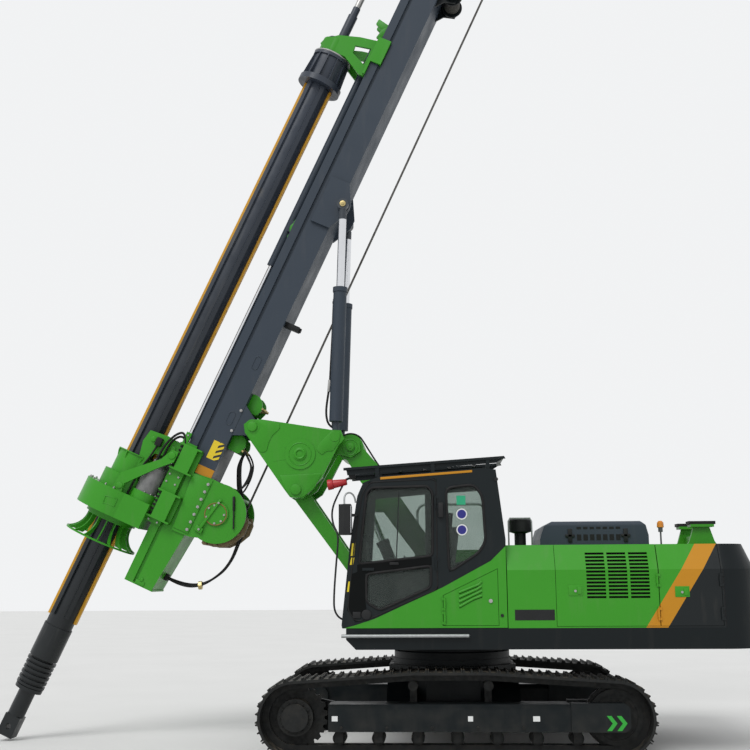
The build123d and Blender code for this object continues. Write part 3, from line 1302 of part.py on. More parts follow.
# Kelly guide: a hub on the kelly's neck, side plates and claws on the mast's rails
guide_back_t = mast_front_t + move_gap
guide_plate = [(guide_back_t + 30, 5480), (1000, 5437), (1285, 5351), (1440, 5230), (1465, 5150),
               (1400, drum_high_s + move_gap), (1080, drum_high_s + move_gap), (800, guide_low_s + 5),
               (guide_back_t + 30, guide_low_s + 5)]
guide_window = [(790, 5090), (1000, 5190), (1010, 5300), (790, 5340)]
with BuildPart() as kelly_guide:
    rod(kelly_t, 0, hub_radius, drum_high_s + seat_gap, hub_high_s)
    prisms(guide_plate, hub_radius - 40, hub_radius - 3, plane_at=mast_side)
    prisms(guide_window, hub_radius - 41, hub_radius - 2, plane_at=mast_side, mode=Mode.SUBTRACT)
    rod(kelly_t, 0, neck_radius + move_gap, drum_high_s, hub_high_s + 1, mode=Mode.SUBTRACT)
    for side in (1, -1):
        y = sorted((side * 149, side * (mast_half_width + move_gap + 30)))
        mast_block((guide_back_t, guide_back_t + 31), y, (guide_low_s, guide_high_s))
        for low in (guide_low_s + 10, guide_high_s - 90):
            slide_pad(side, low, low + 80)
        y = sorted((side * (mast_half_width + move_gap), side * (mast_half_width + move_gap + 30)))
        mast_block((mast_box_t + 12, guide_back_t + 1), y, (claw_low_s, guide_high_s))
        y = sorted((side * (rail_neck_y + move_gap + 2), side * (mast_half_width + move_gap + 1)))
        mast_block((mast_box_t + 12, mast_groove_t - move_gap - 2), y, (claw_low_s, guide_high_s))
keep(kelly_guide, "kelly_guide")

# Kelly: outer tube with its dark keys, front and rear keys, inner section
key_angles = (60, 120, 240, 300)
drum_ribs = 12


def kelly_keys_at(angles, low, high):
    """Straight drive keys along the kelly at these angles."""
    for angle in angles:
        turn = math.radians(angle)
        plane = Plane(origin=mast_point(kelly_t, low), z_dir=upward, x_dir=tuple(
            forward[k] * math.cos(turn) + (0, 1, 0)[k] * math.sin(turn) for k in range(3)))
        with BuildSketch(plane) as key:
            with Locations(((kelly_tube_radius + kelly_key_radius) / 2 - 4, 0)):
                Rectangle(kelly_key_radius - kelly_tube_radius + 8, kelly_key_width)
        extrude(key.sketch, amount=high - low)


with BuildPart() as kelly:
    rod(kelly_t, 0, kelly_tube_radius, kelly_low_s, drum_low_s + 1)
    kelly_keys_at(key_angles, kelly_low_s + 560, drum_low_s + 1)
    rod(kelly_t, 0, drum_radius + 60, drum_low_s, drum_low_s + 80)
    rod(kelly_t, 0, drum_radius, drum_low_s + 79, drum_high_s - 59)
    rod(kelly_t, 0, drum_radius + 22, drum_high_s - 60, drum_high_s)
    for number in range(drum_ribs):
        with BuildSketch(radial_plane(360 * number / drum_ribs, -6)) as rib:
            with BuildLine():
                Polyline((drum_radius - 5, drum_low_s + 79), (drum_radius + 50, drum_low_s + 79),
                         (drum_radius + 22, drum_high_s - 59), (drum_radius - 5, drum_high_s - 59), close=True)
            make_face()
        extrude(rib.sketch, amount=12)
    rod(kelly_t, 0, neck_radius, drum_high_s - 1, kelly_high_s + 1)
    rod(kelly_t, 0, neck_radius + 25, kelly_high_s, kelly_high_s + 45)
    rod(kelly_t, 0, kelly_tube_radius + 12, kelly_low_s, kelly_low_s + 420)
    rod(kelly_t, 0, kelly_bore, kelly_low_s - 1, kelly_high_s + 46, mode=Mode.SUBTRACT)
keep(kelly, "kelly")

with BuildPart() as kelly_keys:
    kelly_keys_at((0, 180), kelly_low_s + 520, drum_low_s - seat_gap)
    rod(kelly_t, 0, kelly_tube_radius + 0.01, kelly_low_s, drum_low_s, mode=Mode.SUBTRACT)
keep(kelly_keys, "kelly_keys")

with BuildPart() as kelly_inner:
    rod(kelly_t, 0, kelly_bore - seat_gap, kelly_low_s - 40, kelly_high_s - 10)
    rod(kelly_t, 0, 66, kelly_high_s - 11, kelly_top_s - 250)
    rod(kelly_t, 0, 185, kelly_low_s - 60, kelly_low_s - 30)
    for number in range(5):
        rod(kelly_t, 0, 180, kelly_low_s - 120 - number * 62, kelly_low_s - 90 - number * 62)
    rod(kelly_t, 0, 150, kelly_low_s - 380, kelly_low_s - 39)
    rod(kelly_t, 0, 172, kelly_low_s - 425, kelly_low_s - 379)
    rod(kelly_t, 0, 105, kelly_stub_s + 260, kelly_low_s - 424)
    mast_block((kelly_t - stub_half, kelly_t + stub_half), (-stub_half, stub_half),
               (kelly_stub_s, kelly_stub_s + 261))
    disc((kelly_t, kelly_stub_s + 120), tool_pin_radius, -stub_half - 1, stub_half + 1, plane_at=mast_side,
         mode=Mode.SUBTRACT)
    rod(kelly_t, 0, 52, kelly_top_s - 251, kelly_top_s - 120)
keep(kelly_inner, "kelly_inner")

with BuildPart() as swivel:
    rod(kelly_t, 0, 45, kelly_top_s - 120 + seat_gap, kelly_top_s + 60)
    rod(kelly_t, 0, 25, kelly_top_s + 59, kelly_top_s + 130)
keep(swivel, "swivel")

# Every piece is moved along X so that the origin is the rig's bottom centre
low_x = min(piece.part.bounding_box().min.X for piece in finished.values())
high_x = max(piece.part.bounding_box().max.X for piece in finished.values())
shift_x = -(low_x + high_x) / 2
os.makedirs("parts", exist_ok=True)
for name, piece in finished.items():
    piece.part = piece.part.moved(Location((shift_x, 0, 0)))
    piece.part.label = name
    export_step(piece.part, f"parts/{name}.step")
print(len(finished), "pieces, moved by", round(shift_x, 3))
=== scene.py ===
"""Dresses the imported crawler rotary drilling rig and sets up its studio."""
import json
import math

import bpy
from mathutils import Matrix, Vector


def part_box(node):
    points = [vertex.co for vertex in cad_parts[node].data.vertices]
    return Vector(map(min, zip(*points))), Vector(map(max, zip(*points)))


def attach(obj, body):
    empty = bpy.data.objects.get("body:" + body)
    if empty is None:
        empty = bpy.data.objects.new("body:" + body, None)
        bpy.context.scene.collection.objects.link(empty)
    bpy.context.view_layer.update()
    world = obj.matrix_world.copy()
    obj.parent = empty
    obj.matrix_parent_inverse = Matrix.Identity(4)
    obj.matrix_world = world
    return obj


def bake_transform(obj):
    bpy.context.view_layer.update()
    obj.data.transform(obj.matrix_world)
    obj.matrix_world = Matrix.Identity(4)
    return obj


bl_info = {
    "name": "Rotary Drilling Rig",
    "version": (1, 0, 0),
    "blender": (4, 5, 0),
    "location": "View3D > Sidebar > Rig",
    "description": "Finishes, hoses, ropes, glass trim and small fittings of a crawler rotary drilling rig",
    "category": "Object",
}

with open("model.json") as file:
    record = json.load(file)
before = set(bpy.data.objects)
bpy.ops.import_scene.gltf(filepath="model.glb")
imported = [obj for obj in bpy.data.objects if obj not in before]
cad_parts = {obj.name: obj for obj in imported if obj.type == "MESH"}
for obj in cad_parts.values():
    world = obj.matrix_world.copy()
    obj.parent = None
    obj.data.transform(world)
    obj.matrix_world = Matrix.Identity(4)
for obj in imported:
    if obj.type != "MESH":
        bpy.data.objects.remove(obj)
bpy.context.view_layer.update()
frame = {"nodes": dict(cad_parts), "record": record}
ring_low, ring_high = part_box("slew_ring")

# The rig's own axes: X counts from the slewing axis, t and s run forward of and up along the mast
SLEW_X = (ring_low[0] + ring_high[0]) / 2
LEAN = math.radians(24.5)
FORWARD = Vector((math.cos(LEAN), 0, math.sin(LEAN)))
UPWARD = Vector((-math.sin(LEAN), 0, math.cos(LEAN)))
MAST_PIN = Vector((SLEW_X + 2.435, 0, 3.818))

# Faces and axes that several pieces share, in metres from the middle plane or the mast's pin
HANDS = (1, -1)
DECK_SIDE = 1.42
TRACK_FRAME_SIDE = 1.42
MAST_SIDE = 0.295
WINCH_SIDE = 0.3235
TRIANGLE_SIDE = 0.52
KELLY_T = 1.28
MOTOR_T, MOTOR_Y = 0.94, 0.27

# The photograph's view: focal length, frame width and the horizon's depth below the middle, in pixels
FOCAL_PIXELS, FRAME_PIXELS, HORIZON_PIXELS = 1090, 750, 205
SENSOR = 36.0


# Places
def side(x, z, y=0.0):
    """A point of the rig from its side view place."""
    return Vector((SLEW_X + x, y, z))


def on_mast(t, s, y=0.0):
    """A point of the rig from its place on the mast."""
    return MAST_PIN + FORWARD * t + UPWARD * s + Vector((0, y, 0))


def mast_section(t, y, s):
    """A point of the rig from its place in a section across the mast."""
    return on_mast(t, s, y)


def rear_view(y, z, x):
    """A point of the rig from its place in the rear view."""
    return side(x, z, y)


def route(place, y, *points):
    """Several points in one plane; a point with a third number has its own Y."""
    return [place(*(*point, y)[:3]) for point in points]


def around(place, centre, radius, angles, y=0.0):
    """Points on a circle, angles in degrees."""
    turns = [math.radians(angle) for angle in angles]
    return [place(centre[0] + radius * math.cos(turn), centre[1] + radius * math.sin(turn), y) for turn in turns]


def arc(centre, radius, start, end, place=on_mast, y=0.0):
    """Points of an arc in eight steps, angles in degrees."""
    return around(place, centre, radius, [start + (end - start) * number / 8 for number in range(9)], y)


def layer(hand, near, far):
    """The lower and the higher Y of a layer on one side."""
    return sorted((hand * near, hand * far))


def outward(hand):
    """The direction out of one side."""
    return Vector((0, hand, 0))


def round_outline(points, radius):
    """A straight-sided outline with its corners rounded."""
    out = []
    steps = 5
    for number, point in enumerate(points):
        corner = Vector(point)
        before = Vector(points[number - 1]) - corner
        after = Vector(points[(number + 1) % len(points)]) - corner
        cut = min(radius, before.length * 0.45, after.length * 0.45)
        a = corner + before.normalized() * cut
        b = corner + after.normalized() * cut
        for step in range(steps + 1):
            share = step / steps
            out.append(tuple(a * (1 - share) ** 2 + corner * 2 * share * (1 - share) + b * share ** 2))
    return out


# Modelling helpers
def clear_selection():
    bpy.ops.object.select_all(action="DESELECT")


def pick(piece):
    """Makes one piece the only selected and active one."""
    clear_selection()
    piece.select_set(True)
    bpy.context.view_layer.objects.active = piece


def modified(piece, kind, **settings):
    """A piece with one modifier applied."""
    pick(piece)
    bpy.ops.object.modifier_add(type=kind)
    modifier = piece.modifiers[-1]
    for key, value in settings.items():
        setattr(modifier, key, value)
    bpy.ops.object.modifier_apply(modifier=modifier.name)
    return piece


def soften(piece, width):
    """Bevels the sharp edges of a piece."""
    return modified(piece, "BEVEL", width=width, segments=2, limit_method="ANGLE")


def box(low, high, edge=0.004, place=side):
    """A soft-edged box between two corners, in the rig's axes or the mast's."""
    clear_selection()
    middle = [(a + b) / 2 for a, b in zip(low, high)]
    size = [abs(b - a) for a, b in zip(low, high)]
    bpy.ops.mesh.primitive_cube_add(size=1, location=place(middle[0], middle[2], middle[1]),
                                    rotation=(0, -LEAN if place is on_mast else 0, 0))
    piece = bpy.context.object
    piece.scale = size
    bpy.ops.object.transform_apply(location=False, rotation=False, scale=True)
    if edge:
        soften(piece, min(edge, min(size) / 3))
    return piece


def box_pair(near, far, low, high, edge=0.004, place=side):
    """The same box on both sides, between two corners of the side view."""
    return [box((low[0], y, low[1]), (high[0], far_y, high[1]), edge, place)
            for y, far_y in (layer(hand, near, far) for hand in HANDS)]


def deck_box(low, high, near, far, edge=0.004):
    """A box on the left face of the deck, near and far counted out of that face."""
    return box((low[0], DECK_SIDE + near, low[1]), (high[0], DECK_SIDE + far, high[1]), edge)


def rod(start, end, radius, sides=24, far_radius=None, edge=0.0):
    """A round bar or cone between two points."""
    clear_selection()
    reach = end - start
    bpy.ops.mesh.primitive_cone_add(
        vertices=sides, radius1=radius, radius2=radius if far_radius is None else far_radius,
        depth=reach.length, location=(start + end) / 2, rotation=reach.to_track_quat("Z", "Y").to_euler())
    piece = bpy.context.object
    if edge:
        soften(piece, edge)
    return piece


def stud(place, a, b, near, far, radius, sides=24, edge=0.0):
    """A round bar across the rig, from one Y to another."""
    return rod(place(a, b, near), place(a, b, far), radius, sides, edge=edge)


def cap(spot, out, height, radius, sides=24, edge=0.0, sunk=0.0):
    """A short round bar that stands on a spot."""
    return rod(spot + out * sunk, spot + out * height, radius, sides, edge=edge)


def deck_knob(x, z, height, radius, sides=20, edge=0.0, hand=1):
    """A round knob on a side face of the deck."""
    return stud(side, x, z, hand * DECK_SIDE, hand * (DECK_SIDE + height), radius, sides, edge)


def ring(centre, axis, radius, thickness, sides=40):
    """A round ring about an axis."""
    clear_selection()
    bpy.ops.mesh.primitive_torus_add(
        location=centre, rotation=axis.to_track_quat("Z", "Y").to_euler(), major_radius=radius,
        minor_radius=thickness, major_segments=sides, minor_segments=8)
    return bpy.context.object


def coils(t, s, first, pitch, count, radius, thickness, sides):
    """Rope wound on a drum of the mast."""
    return [ring(on_mast(t, s, first + number * pitch), outward(1), radius, thickness, sides)
            for number in range(count)]


def tube(points, radius, closed=False, smooth=True, sides=3):
    """A round tube through or near a list of points."""
    clear_selection()
    line = bpy.data.curves.new("route", "CURVE")
    line.dimensions = "3D"
    line.bevel_depth = radius
    line.bevel_resolution = sides
    line.resolution_u = 10
    line.use_fill_caps = True
    spline = line.splines.new("NURBS" if smooth else "POLY")
    spline.points.add(len(points) - 1)
    for knot, point in zip(spline.points, points):
        knot.co = (*point, 1)
    spline.use_cyclic_u = closed
    if smooth:
        spline.order_u = 3
        spline.use_endpoint_u = not closed
    piece = bpy.data.objects.new("route", line)
    bpy.context.collection.objects.link(piece)
    pick(piece)
    bpy.ops.object.convert(target="MESH")
    return bpy.context.object


def hoop(outline, rounding, y, radius):
    """A closed seal along a rounded outline of the side view."""
    return tube(route(side, y, *round_outline(outline, rounding)), radius, closed=True, smooth=False)


def plate(outline, low, high, edge=0.0, place=side, along=(0, 1, 0)):
    """A flat plate from its outline, between two places along one axis."""
    clear_selection()
    bpy.ops.mesh.primitive_circle_add(vertices=len(outline), radius=1, fill_type="NGON", location=(0, 0, 0))
    piece = bpy.context.object
    for corner, (a, b) in zip(piece.data.vertices, outline):
        corner.co = place(a, b, low)
    bpy.ops.object.mode_set(mode="EDIT")
    bpy.ops.mesh.select_all(action="SELECT")
    bpy.ops.mesh.extrude_region_move(TRANSFORM_OT_translate={"value": Vector(along) * (high - low)})
    bpy.ops.mesh.select_all(action="SELECT")
    bpy.ops.mesh.normals_make_consistent(inside=False)
    bpy.ops.object.mode_set(mode="OBJECT")
    if edge:
        soften(piece, edge)
    return piece


def plate_pair(near, far, outline, edge=0.0, place=side):
    """The same plate on both sides."""
    return [plate(outline, *layer(hand, near, far), edge, place) for hand in HANDS]


def bored(piece, x, z, hand, radius):
    """Cuts a round hole through a plate on the triangle's side."""
    cutter = stud(side, x, z, hand * (TRIANGLE_SIDE - 0.02), hand * (TRIANGLE_SIDE + 0.03), radius, 32)
    modified(piece, "BOOLEAN", operation="DIFFERENCE", object=cutter)
    pick(cutter)
    bpy.ops.object.delete()
    return piece


def joined(parts):
    """Several parts made one piece."""
    clear_selection()
    for part in parts:
        part.select_set(True)
    bpy.context.view_layer.objects.active = parts[0]
    if len(parts) > 1:
        bpy.ops.object.join()
    return bpy.context.object


def bolts(places, axis, radius, height):
    """Hexagon bolt heads at several places, all facing one way."""
    heads = []
    for place in places:
        heads.append(cap(place, axis, height, radius, 6))
        heads.append(cap(place, axis, height + radius * 0.5, radius * 0.45, 10, sunk=height))
    return joined(heads)


def fit(parts, name, body, finish, stretch=None):
    """Makes parts one named piece, gives it its finish and lets it ride on its body, or bakes its transform in place
    when a stretch is given.
    """
    piece = joined(parts if isinstance(parts, list) else [parts])
    bpy.ops.object.transform_apply(location=True, rotation=True, scale=True)
    bpy.ops.object.shade_smooth_by_angle(angle=math.radians(40))
    piece.name = name
    piece.data.materials.clear()
    piece.data.materials.append(material(finish))
    if stretch:
        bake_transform(piece)
    else:
        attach(piece, body)


# Material helpers
class Mixer:
    """A procedural material with its shader and object coordinates at hand.

    Where a noise drives the roughness, the plain value is what an export without textures shows.
    """

    def __init__(self, name, roughness=0.5, metallic=0.0, specular=None):
        self.material = bpy.data.materials.new(name)
        self.material.use_nodes = True
        self.tree = self.material.node_tree
        self.shader = self.tree.nodes["Principled BSDF"]
        self.place = self.node("ShaderNodeTexCoord").outputs["Object"]
        self.set("Roughness", roughness)
        self.set("Metallic", metallic)
        if specular is not None:
            self.set("Specular IOR Level", specular)

    def node(self, kind, **values):
        made = self.tree.nodes.new(kind)
        for key, value in values.items():
            setattr(made, key, value)
        return made

    def link(self, start, end):
        """Links a socket, or writes a colour or a number into the one it would go to."""
        if hasattr(start, "is_output"):
            self.tree.links.new(start, end)
        elif isinstance(start, (tuple, list)):
            end.default_value = (*start, 1)
        else:
            end.default_value = start

    def set(self, socket, value):
        """Gives one of the shader's sockets its value."""
        self.link(value, self.shader.inputs[socket])

    def colour(self, value):
        self.set("Base Color", value)

    def stretched(self, scale, turn=0.0):
        """Object coordinates turned about Y and scaled."""
        mapping = self.node("ShaderNodeMapping", vector_type="POINT")
        mapping.inputs["Scale"].default_value = scale
        start = self.place
        if turn:
            spin = self.node("ShaderNodeVectorRotate", rotation_type="Y_AXIS")
            spin.inputs["Angle"].default_value = turn
            self.link(start, spin.inputs["Vector"])
            start = spin.outputs[0]
        self.link(start, mapping.inputs["Vector"])
        return mapping.outputs[0]

    def field(self, source):
        """A socket as it is, or a noise from its scale, detail and coordinates."""
        if hasattr(source, "is_output"):
            return source
        scale, detail, *vector = source
        made = self.node("ShaderNodeTexNoise")
        made.inputs["Scale"].default_value = scale
        made.inputs["Detail"].default_value = detail
        self.link(vector[0] if vector else self.place, made.inputs["Vector"])
        return made.outputs["Fac"]

    def span(self, value, low, high, start=0.0, end=1.0):
        """A field's range from low to high mapped to another range."""
        value = self.field(value)
        made = self.node("ShaderNodeMapRange")
        self.link(value, made.inputs["Value"])
        for key, number in (("From Min", low), ("From Max", high), ("To Min", start), ("To Max", end)):
            made.inputs[key].default_value = number
        return made.outputs[0]

    def sum(self, kind, a, b):
        made = self.node("ShaderNodeMath", operation=kind)
        self.link(a, made.inputs[0])
        self.link(b, made.inputs[1])
        return made.outputs[0]

    def blend(self, share, a, b):
        """Two colours mixed by a field; sockets 6, 7 and 2 are the mix node's colours A, B and result."""
        share = self.field(share)
        made = self.node("ShaderNodeMix", data_type="RGBA")
        self.link(share, made.inputs[0])
        self.link(a, made.inputs[6])
        self.link(b, made.inputs[7])
        return made.outputs[2]

    def axis(self, letter, vector=None):
        """One coordinate of a vector, the object's own if none is given."""
        made = self.node("ShaderNodeSeparateXYZ")
        self.link(vector or self.place, made.inputs[0])
        return made.outputs[letter]

    def wave(self, scale, **values):
        made = self.node("ShaderNodeTexWave", **values)
        made.inputs["Scale"].default_value = scale
        self.link(self.place, made.inputs["Vector"])
        return made.outputs["Fac"]

    def gloss(self, low, high, *noise):
        """A roughness that wanders between two values."""
        self.set("Roughness", self.span(noise, 0.3, 0.7, low, high))

    def bump(self, height, strength, distance):
        height = self.field(height)
        made = self.node("ShaderNodeBump")
        made.inputs["Strength"].default_value = strength
        made.inputs["Distance"].default_value = distance
        self.link(height, made.inputs["Height"])
        self.set("Normal", made.outputs[0])


GREEN = (0.036, 0.262, 0.013)
DARK = (0.0068, 0.0096, 0.0108)
ORANGE = (0.47, 0.205, 0.008)
DUST = (0.23, 0.20, 0.165)


def lacquer(name, colour, rough=0.34, dust=0.10, layers=None, shine=0.3):
    """Sprayed machine paint with light orange peel, faint streaks, chips and dust near the ground."""
    mixer = Mixer(name, specular=shine)
    paint = mixer.blend((0.7, 3), [c * 0.9 for c in colour], [min(1, c * 1.08) for c in colour])
    if layers:
        paint = layers(mixer, paint)
    streaks = mixer.span((9.0, 6, mixer.stretched((1.0, 1.0, 0.16))), 0.55, 0.80, 0.0, dust)
    paint = mixer.blend(streaks, paint, DUST)
    ground = mixer.sum("MULTIPLY", mixer.span(mixer.axis("Z"), 0.10, 0.75, 0.09, 0.0),
                       mixer.span((5.0, 8), 0.40, 0.7))
    paint = mixer.blend(ground, paint, DUST)
    chips = mixer.sum("MULTIPLY", mixer.span((60.0, 5), 0.745, 0.76), 0.4)
    mixer.colour(mixer.blend(chips, paint, (0.07, 0.065, 0.06)))
    mixer.gloss(rough - 0.06, rough + 0.12, 3.0, 6)
    mixer.bump((260.0, 2), 0.06, 0.002)
    return mixer.material


def swept_livery(mixer, paint):
    """The slanting orange band on the rear of the housing, dark behind it."""
    foot_x, foot_z, slope, width = SLEW_X - 2.147, 1.424, 0.659, 0.24
    slant = mixer.sum("ADD", mixer.axis("X"), mixer.sum("MULTIPLY", mixer.axis("Z"), slope))
    ahead = mixer.sum("SUBTRACT", slant, foot_x + slope * foot_z)
    banded = mixer.blend(mixer.sum("GREATER_THAN", ahead, 0.0), ORANGE, paint)
    return mixer.blend(mixer.sum("GREATER_THAN", ahead, -width), DARK, banded)


def key_lacquer():
    """Amber drive keys, scuffed in places along the kelly."""
    mixer = Mixer("key lacquer", roughness=0.45)
    rubbed = mixer.span((7.0, 7, mixer.stretched((1.0, 1.0, 0.12), LEAN)), 0.60, 0.72, 0.0, 0.35)
    tone = mixer.blend((2.0, 4), (0.58, 0.28, 0.006), (0.70, 0.36, 0.010))
    mixer.colour(mixer.blend(rubbed, tone, (0.20, 0.12, 0.04)))
    mixer.gloss(0.35, 0.6, 12.0, 4)
    mixer.bump((90.0, 4), 0.12, 0.003)
    return mixer.material


def kelly_steel():
    """Blue-black drill string paint with a low gloss, long rub marks and a little clay."""
    mixer = Mixer("kelly steel", roughness=0.4, specular=0.4)
    # The tone is darker towards the bottom and lighter towards the top.
    bottom_tone = mixer.blend((3.0, 5), (0.0050, 0.0072, 0.0082), (0.010, 0.0125, 0.0140))
    dry = mixer.blend((3.0, 5), (0.024, 0.031, 0.046), (0.040, 0.050, 0.068))
    tone = mixer.blend(mixer.span(mixer.axis("Z"), 1.2, 8.0), bottom_tone, dry)
    rubbed = mixer.span((10.0, 8, mixer.stretched((1.0, 1.0, 0.07), LEAN)), 0.60, 0.74, 0.0, 0.35)
    tone = mixer.blend(rubbed, tone, (0.12, 0.12, 0.115))
    mixer.colour(mixer.blend(mixer.span((2.2, 9), 0.66, 0.76, 0.0, 0.35), tone, (0.20, 0.17, 0.12)))
    mixer.gloss(0.26, 0.5, 6.0, 4)
    mixer.bump((70.0, 6), 0.12, 0.003)
    return mixer.material


def track_steel():
    """Near black shoes with dry soil on what faces up and worn metal at the edges."""
    mixer = Mixer("track steel", roughness=0.6, specular=0.25)
    tone = mixer.blend((6.0, 6), (0.0065, 0.0075, 0.0075), (0.015, 0.016, 0.0155))
    facing_up = mixer.axis("Z", mixer.node("ShaderNodeNewGeometry").outputs["Normal"])
    soil = mixer.sum("MULTIPLY", mixer.span(facing_up, 0.45, 0.95, 0.04, 0.62),
                     mixer.span((11.0, 9), 0.44, 0.68))
    tone = mixer.blend(soil, tone, (0.16, 0.135, 0.10))
    mixer.colour(mixer.blend(mixer.span((30.0, 7), 0.63, 0.74, 0.0, 0.30), tone, (0.065, 0.038, 0.022)))
    mixer.gloss(0.45, 0.8, 20.0, 4)
    mixer.bump((80.0, 6), 0.3, 0.004)
    return mixer.material


def cylinder_rod():
    """Polished cylinder rods whose top eye is painted dark."""
    mixer = Mixer("cylinder rod", metallic=1.0)
    eye = mixer.sum("GREATER_THAN", mixer.axis("Z"), 6.52)
    plated = mixer.blend((14.0, 4), (0.74, 0.75, 0.78), (0.84, 0.85, 0.87))
    mixer.colour(mixer.blend(eye, plated, (0.030, 0.038, 0.048)))
    mixer.set("Metallic", mixer.sum("SUBTRACT", 1.0, eye))
    shine = mixer.span((18.0, 5, mixer.stretched((1, 1, 0.1))), 0.3, 0.7, 0.12, 0.26)
    mixer.set("Roughness", mixer.sum("ADD", shine, mixer.sum("MULTIPLY", eye, 0.2)))
    mixer.bump((180.0, 4), 0.03, 0.001)
    return mixer.material


def polished_rod():
    mixer = Mixer("polished rod", roughness=0.16, metallic=1.0)
    mixer.colour((0.78, 0.79, 0.81))
    mixer.gloss(0.10, 0.26, 18.0, 5, mixer.stretched((1, 1, 0.1), LEAN))
    mixer.bump((180.0, 4), 0.03, 0.001)
    return mixer.material


def rope_wire():
    """Greased steel rope with its lay."""
    mixer = Mixer("rope wire", metallic=0.7)
    lay = mixer.wave(55.0, wave_type="BANDS", bands_direction="DIAGONAL")
    mixer.colour(mixer.blend(lay, (0.035, 0.033, 0.03), (0.13, 0.125, 0.115)))
    mixer.gloss(0.4, 0.6, 30.0, 4)
    mixer.bump(lay, 0.6, 0.004)
    return mixer.material


def window_glass():
    """Lightly tinted safety glass with a faint film and a painted reflection in its mottled tint, which casts no
    shadow.
    """
    mixer = Mixer("window glass", roughness=0.0)
    # The mottled tint is partly a faint film of dust streaks and partly a painted reflection.
    mixer.colour(mixer.blend((3.0, 5), (0.44, 0.50, 0.47), (0.56, 0.62, 0.59)))
    mixer.set("IOR", 1.01)
    mixer.set("Transmission Weight", 0.955)
    shadow = mixer.node("ShaderNodeLightPath").outputs["Is Shadow Ray"]
    mixer.set("Alpha", mixer.sum("SUBTRACT", 1.0, shadow))
    return mixer.material


def seat_cloth():
    """Woven seat cloth with fine crossing threads."""
    mixer = Mixer("seat cloth", roughness=0.9)
    threads = mixer.sum("MULTIPLY", mixer.wave(160.0, bands_direction="Z"), mixer.wave(160.0, bands_direction="Y"))
    mixer.colour(mixer.blend(threads, (0.018, 0.018, 0.021), (0.06, 0.06, 0.066)))
    mixer.bump(threads, 0.4, 0.002)
    mixer.set("Sheen Weight", 0.3)
    return mixer.material


def hazard_print():
    """Yellow vinyl whose rear half has black slanting bars."""
    mixer = Mixer("hazard print", roughness=0.4)
    turned = mixer.stretched((1, 1, 1), LEAN)
    t, s = mixer.axis("X", turned), mixer.axis("Z", turned)
    slant = mixer.sum("ADD", mixer.sum("MULTIPLY", t, 0.75), s)
    bars = mixer.sum("LESS_THAN", mixer.sum("FRACT", mixer.sum("MULTIPLY", slant, 14.0), 0.0), 0.5)
    pin_t = MAST_PIN.x * math.cos(LEAN) + MAST_PIN.z * math.sin(LEAN)
    rear = mixer.sum("LESS_THAN", t, pin_t + 0.34)
    mixer.colour(mixer.blend(mixer.sum("MULTIPLY", bars, rear), (0.68, 0.50, 0.01), (0.015, 0.015, 0.015)))
    return mixer.material


def amber_lens():
    """Amber beacon lens on a grey base and post."""
    mixer = Mixer("amber lens", roughness=0.25)
    lens = mixer.sum("GREATER_THAN", mixer.axis("Z"), 2.513)
    amber = mixer.blend((9.0, 4), (0.62, 0.20, 0.01), (0.78, 0.30, 0.02))
    mixer.colour(mixer.blend(lens, (0.05, 0.055, 0.06), amber))
    mixer.set("Transmission Weight", mixer.sum("MULTIPLY", lens, 0.25))
    return mixer.material


def plain(name, noise, dark, light, gloss=None, bump=None, **shader):
    """A finish of two mottled tones; gloss is low, high and noise, bump is noise, strength and distance."""
    mixer = Mixer(name, **shader)
    mixer.colour(mixer.blend(noise, dark, light))
    if gloss:
        mixer.gloss(*gloss)
    if bump:
        mixer.bump(*bump)
    return mixer.material


def flat_print(name, colour):
    """Printed vinyl in one tone, slightly scuffed."""
    return plain(name, (18.0, 6), [c * 0.86 for c in colour], colour, (0.32, 0.5, 22.0, 4))


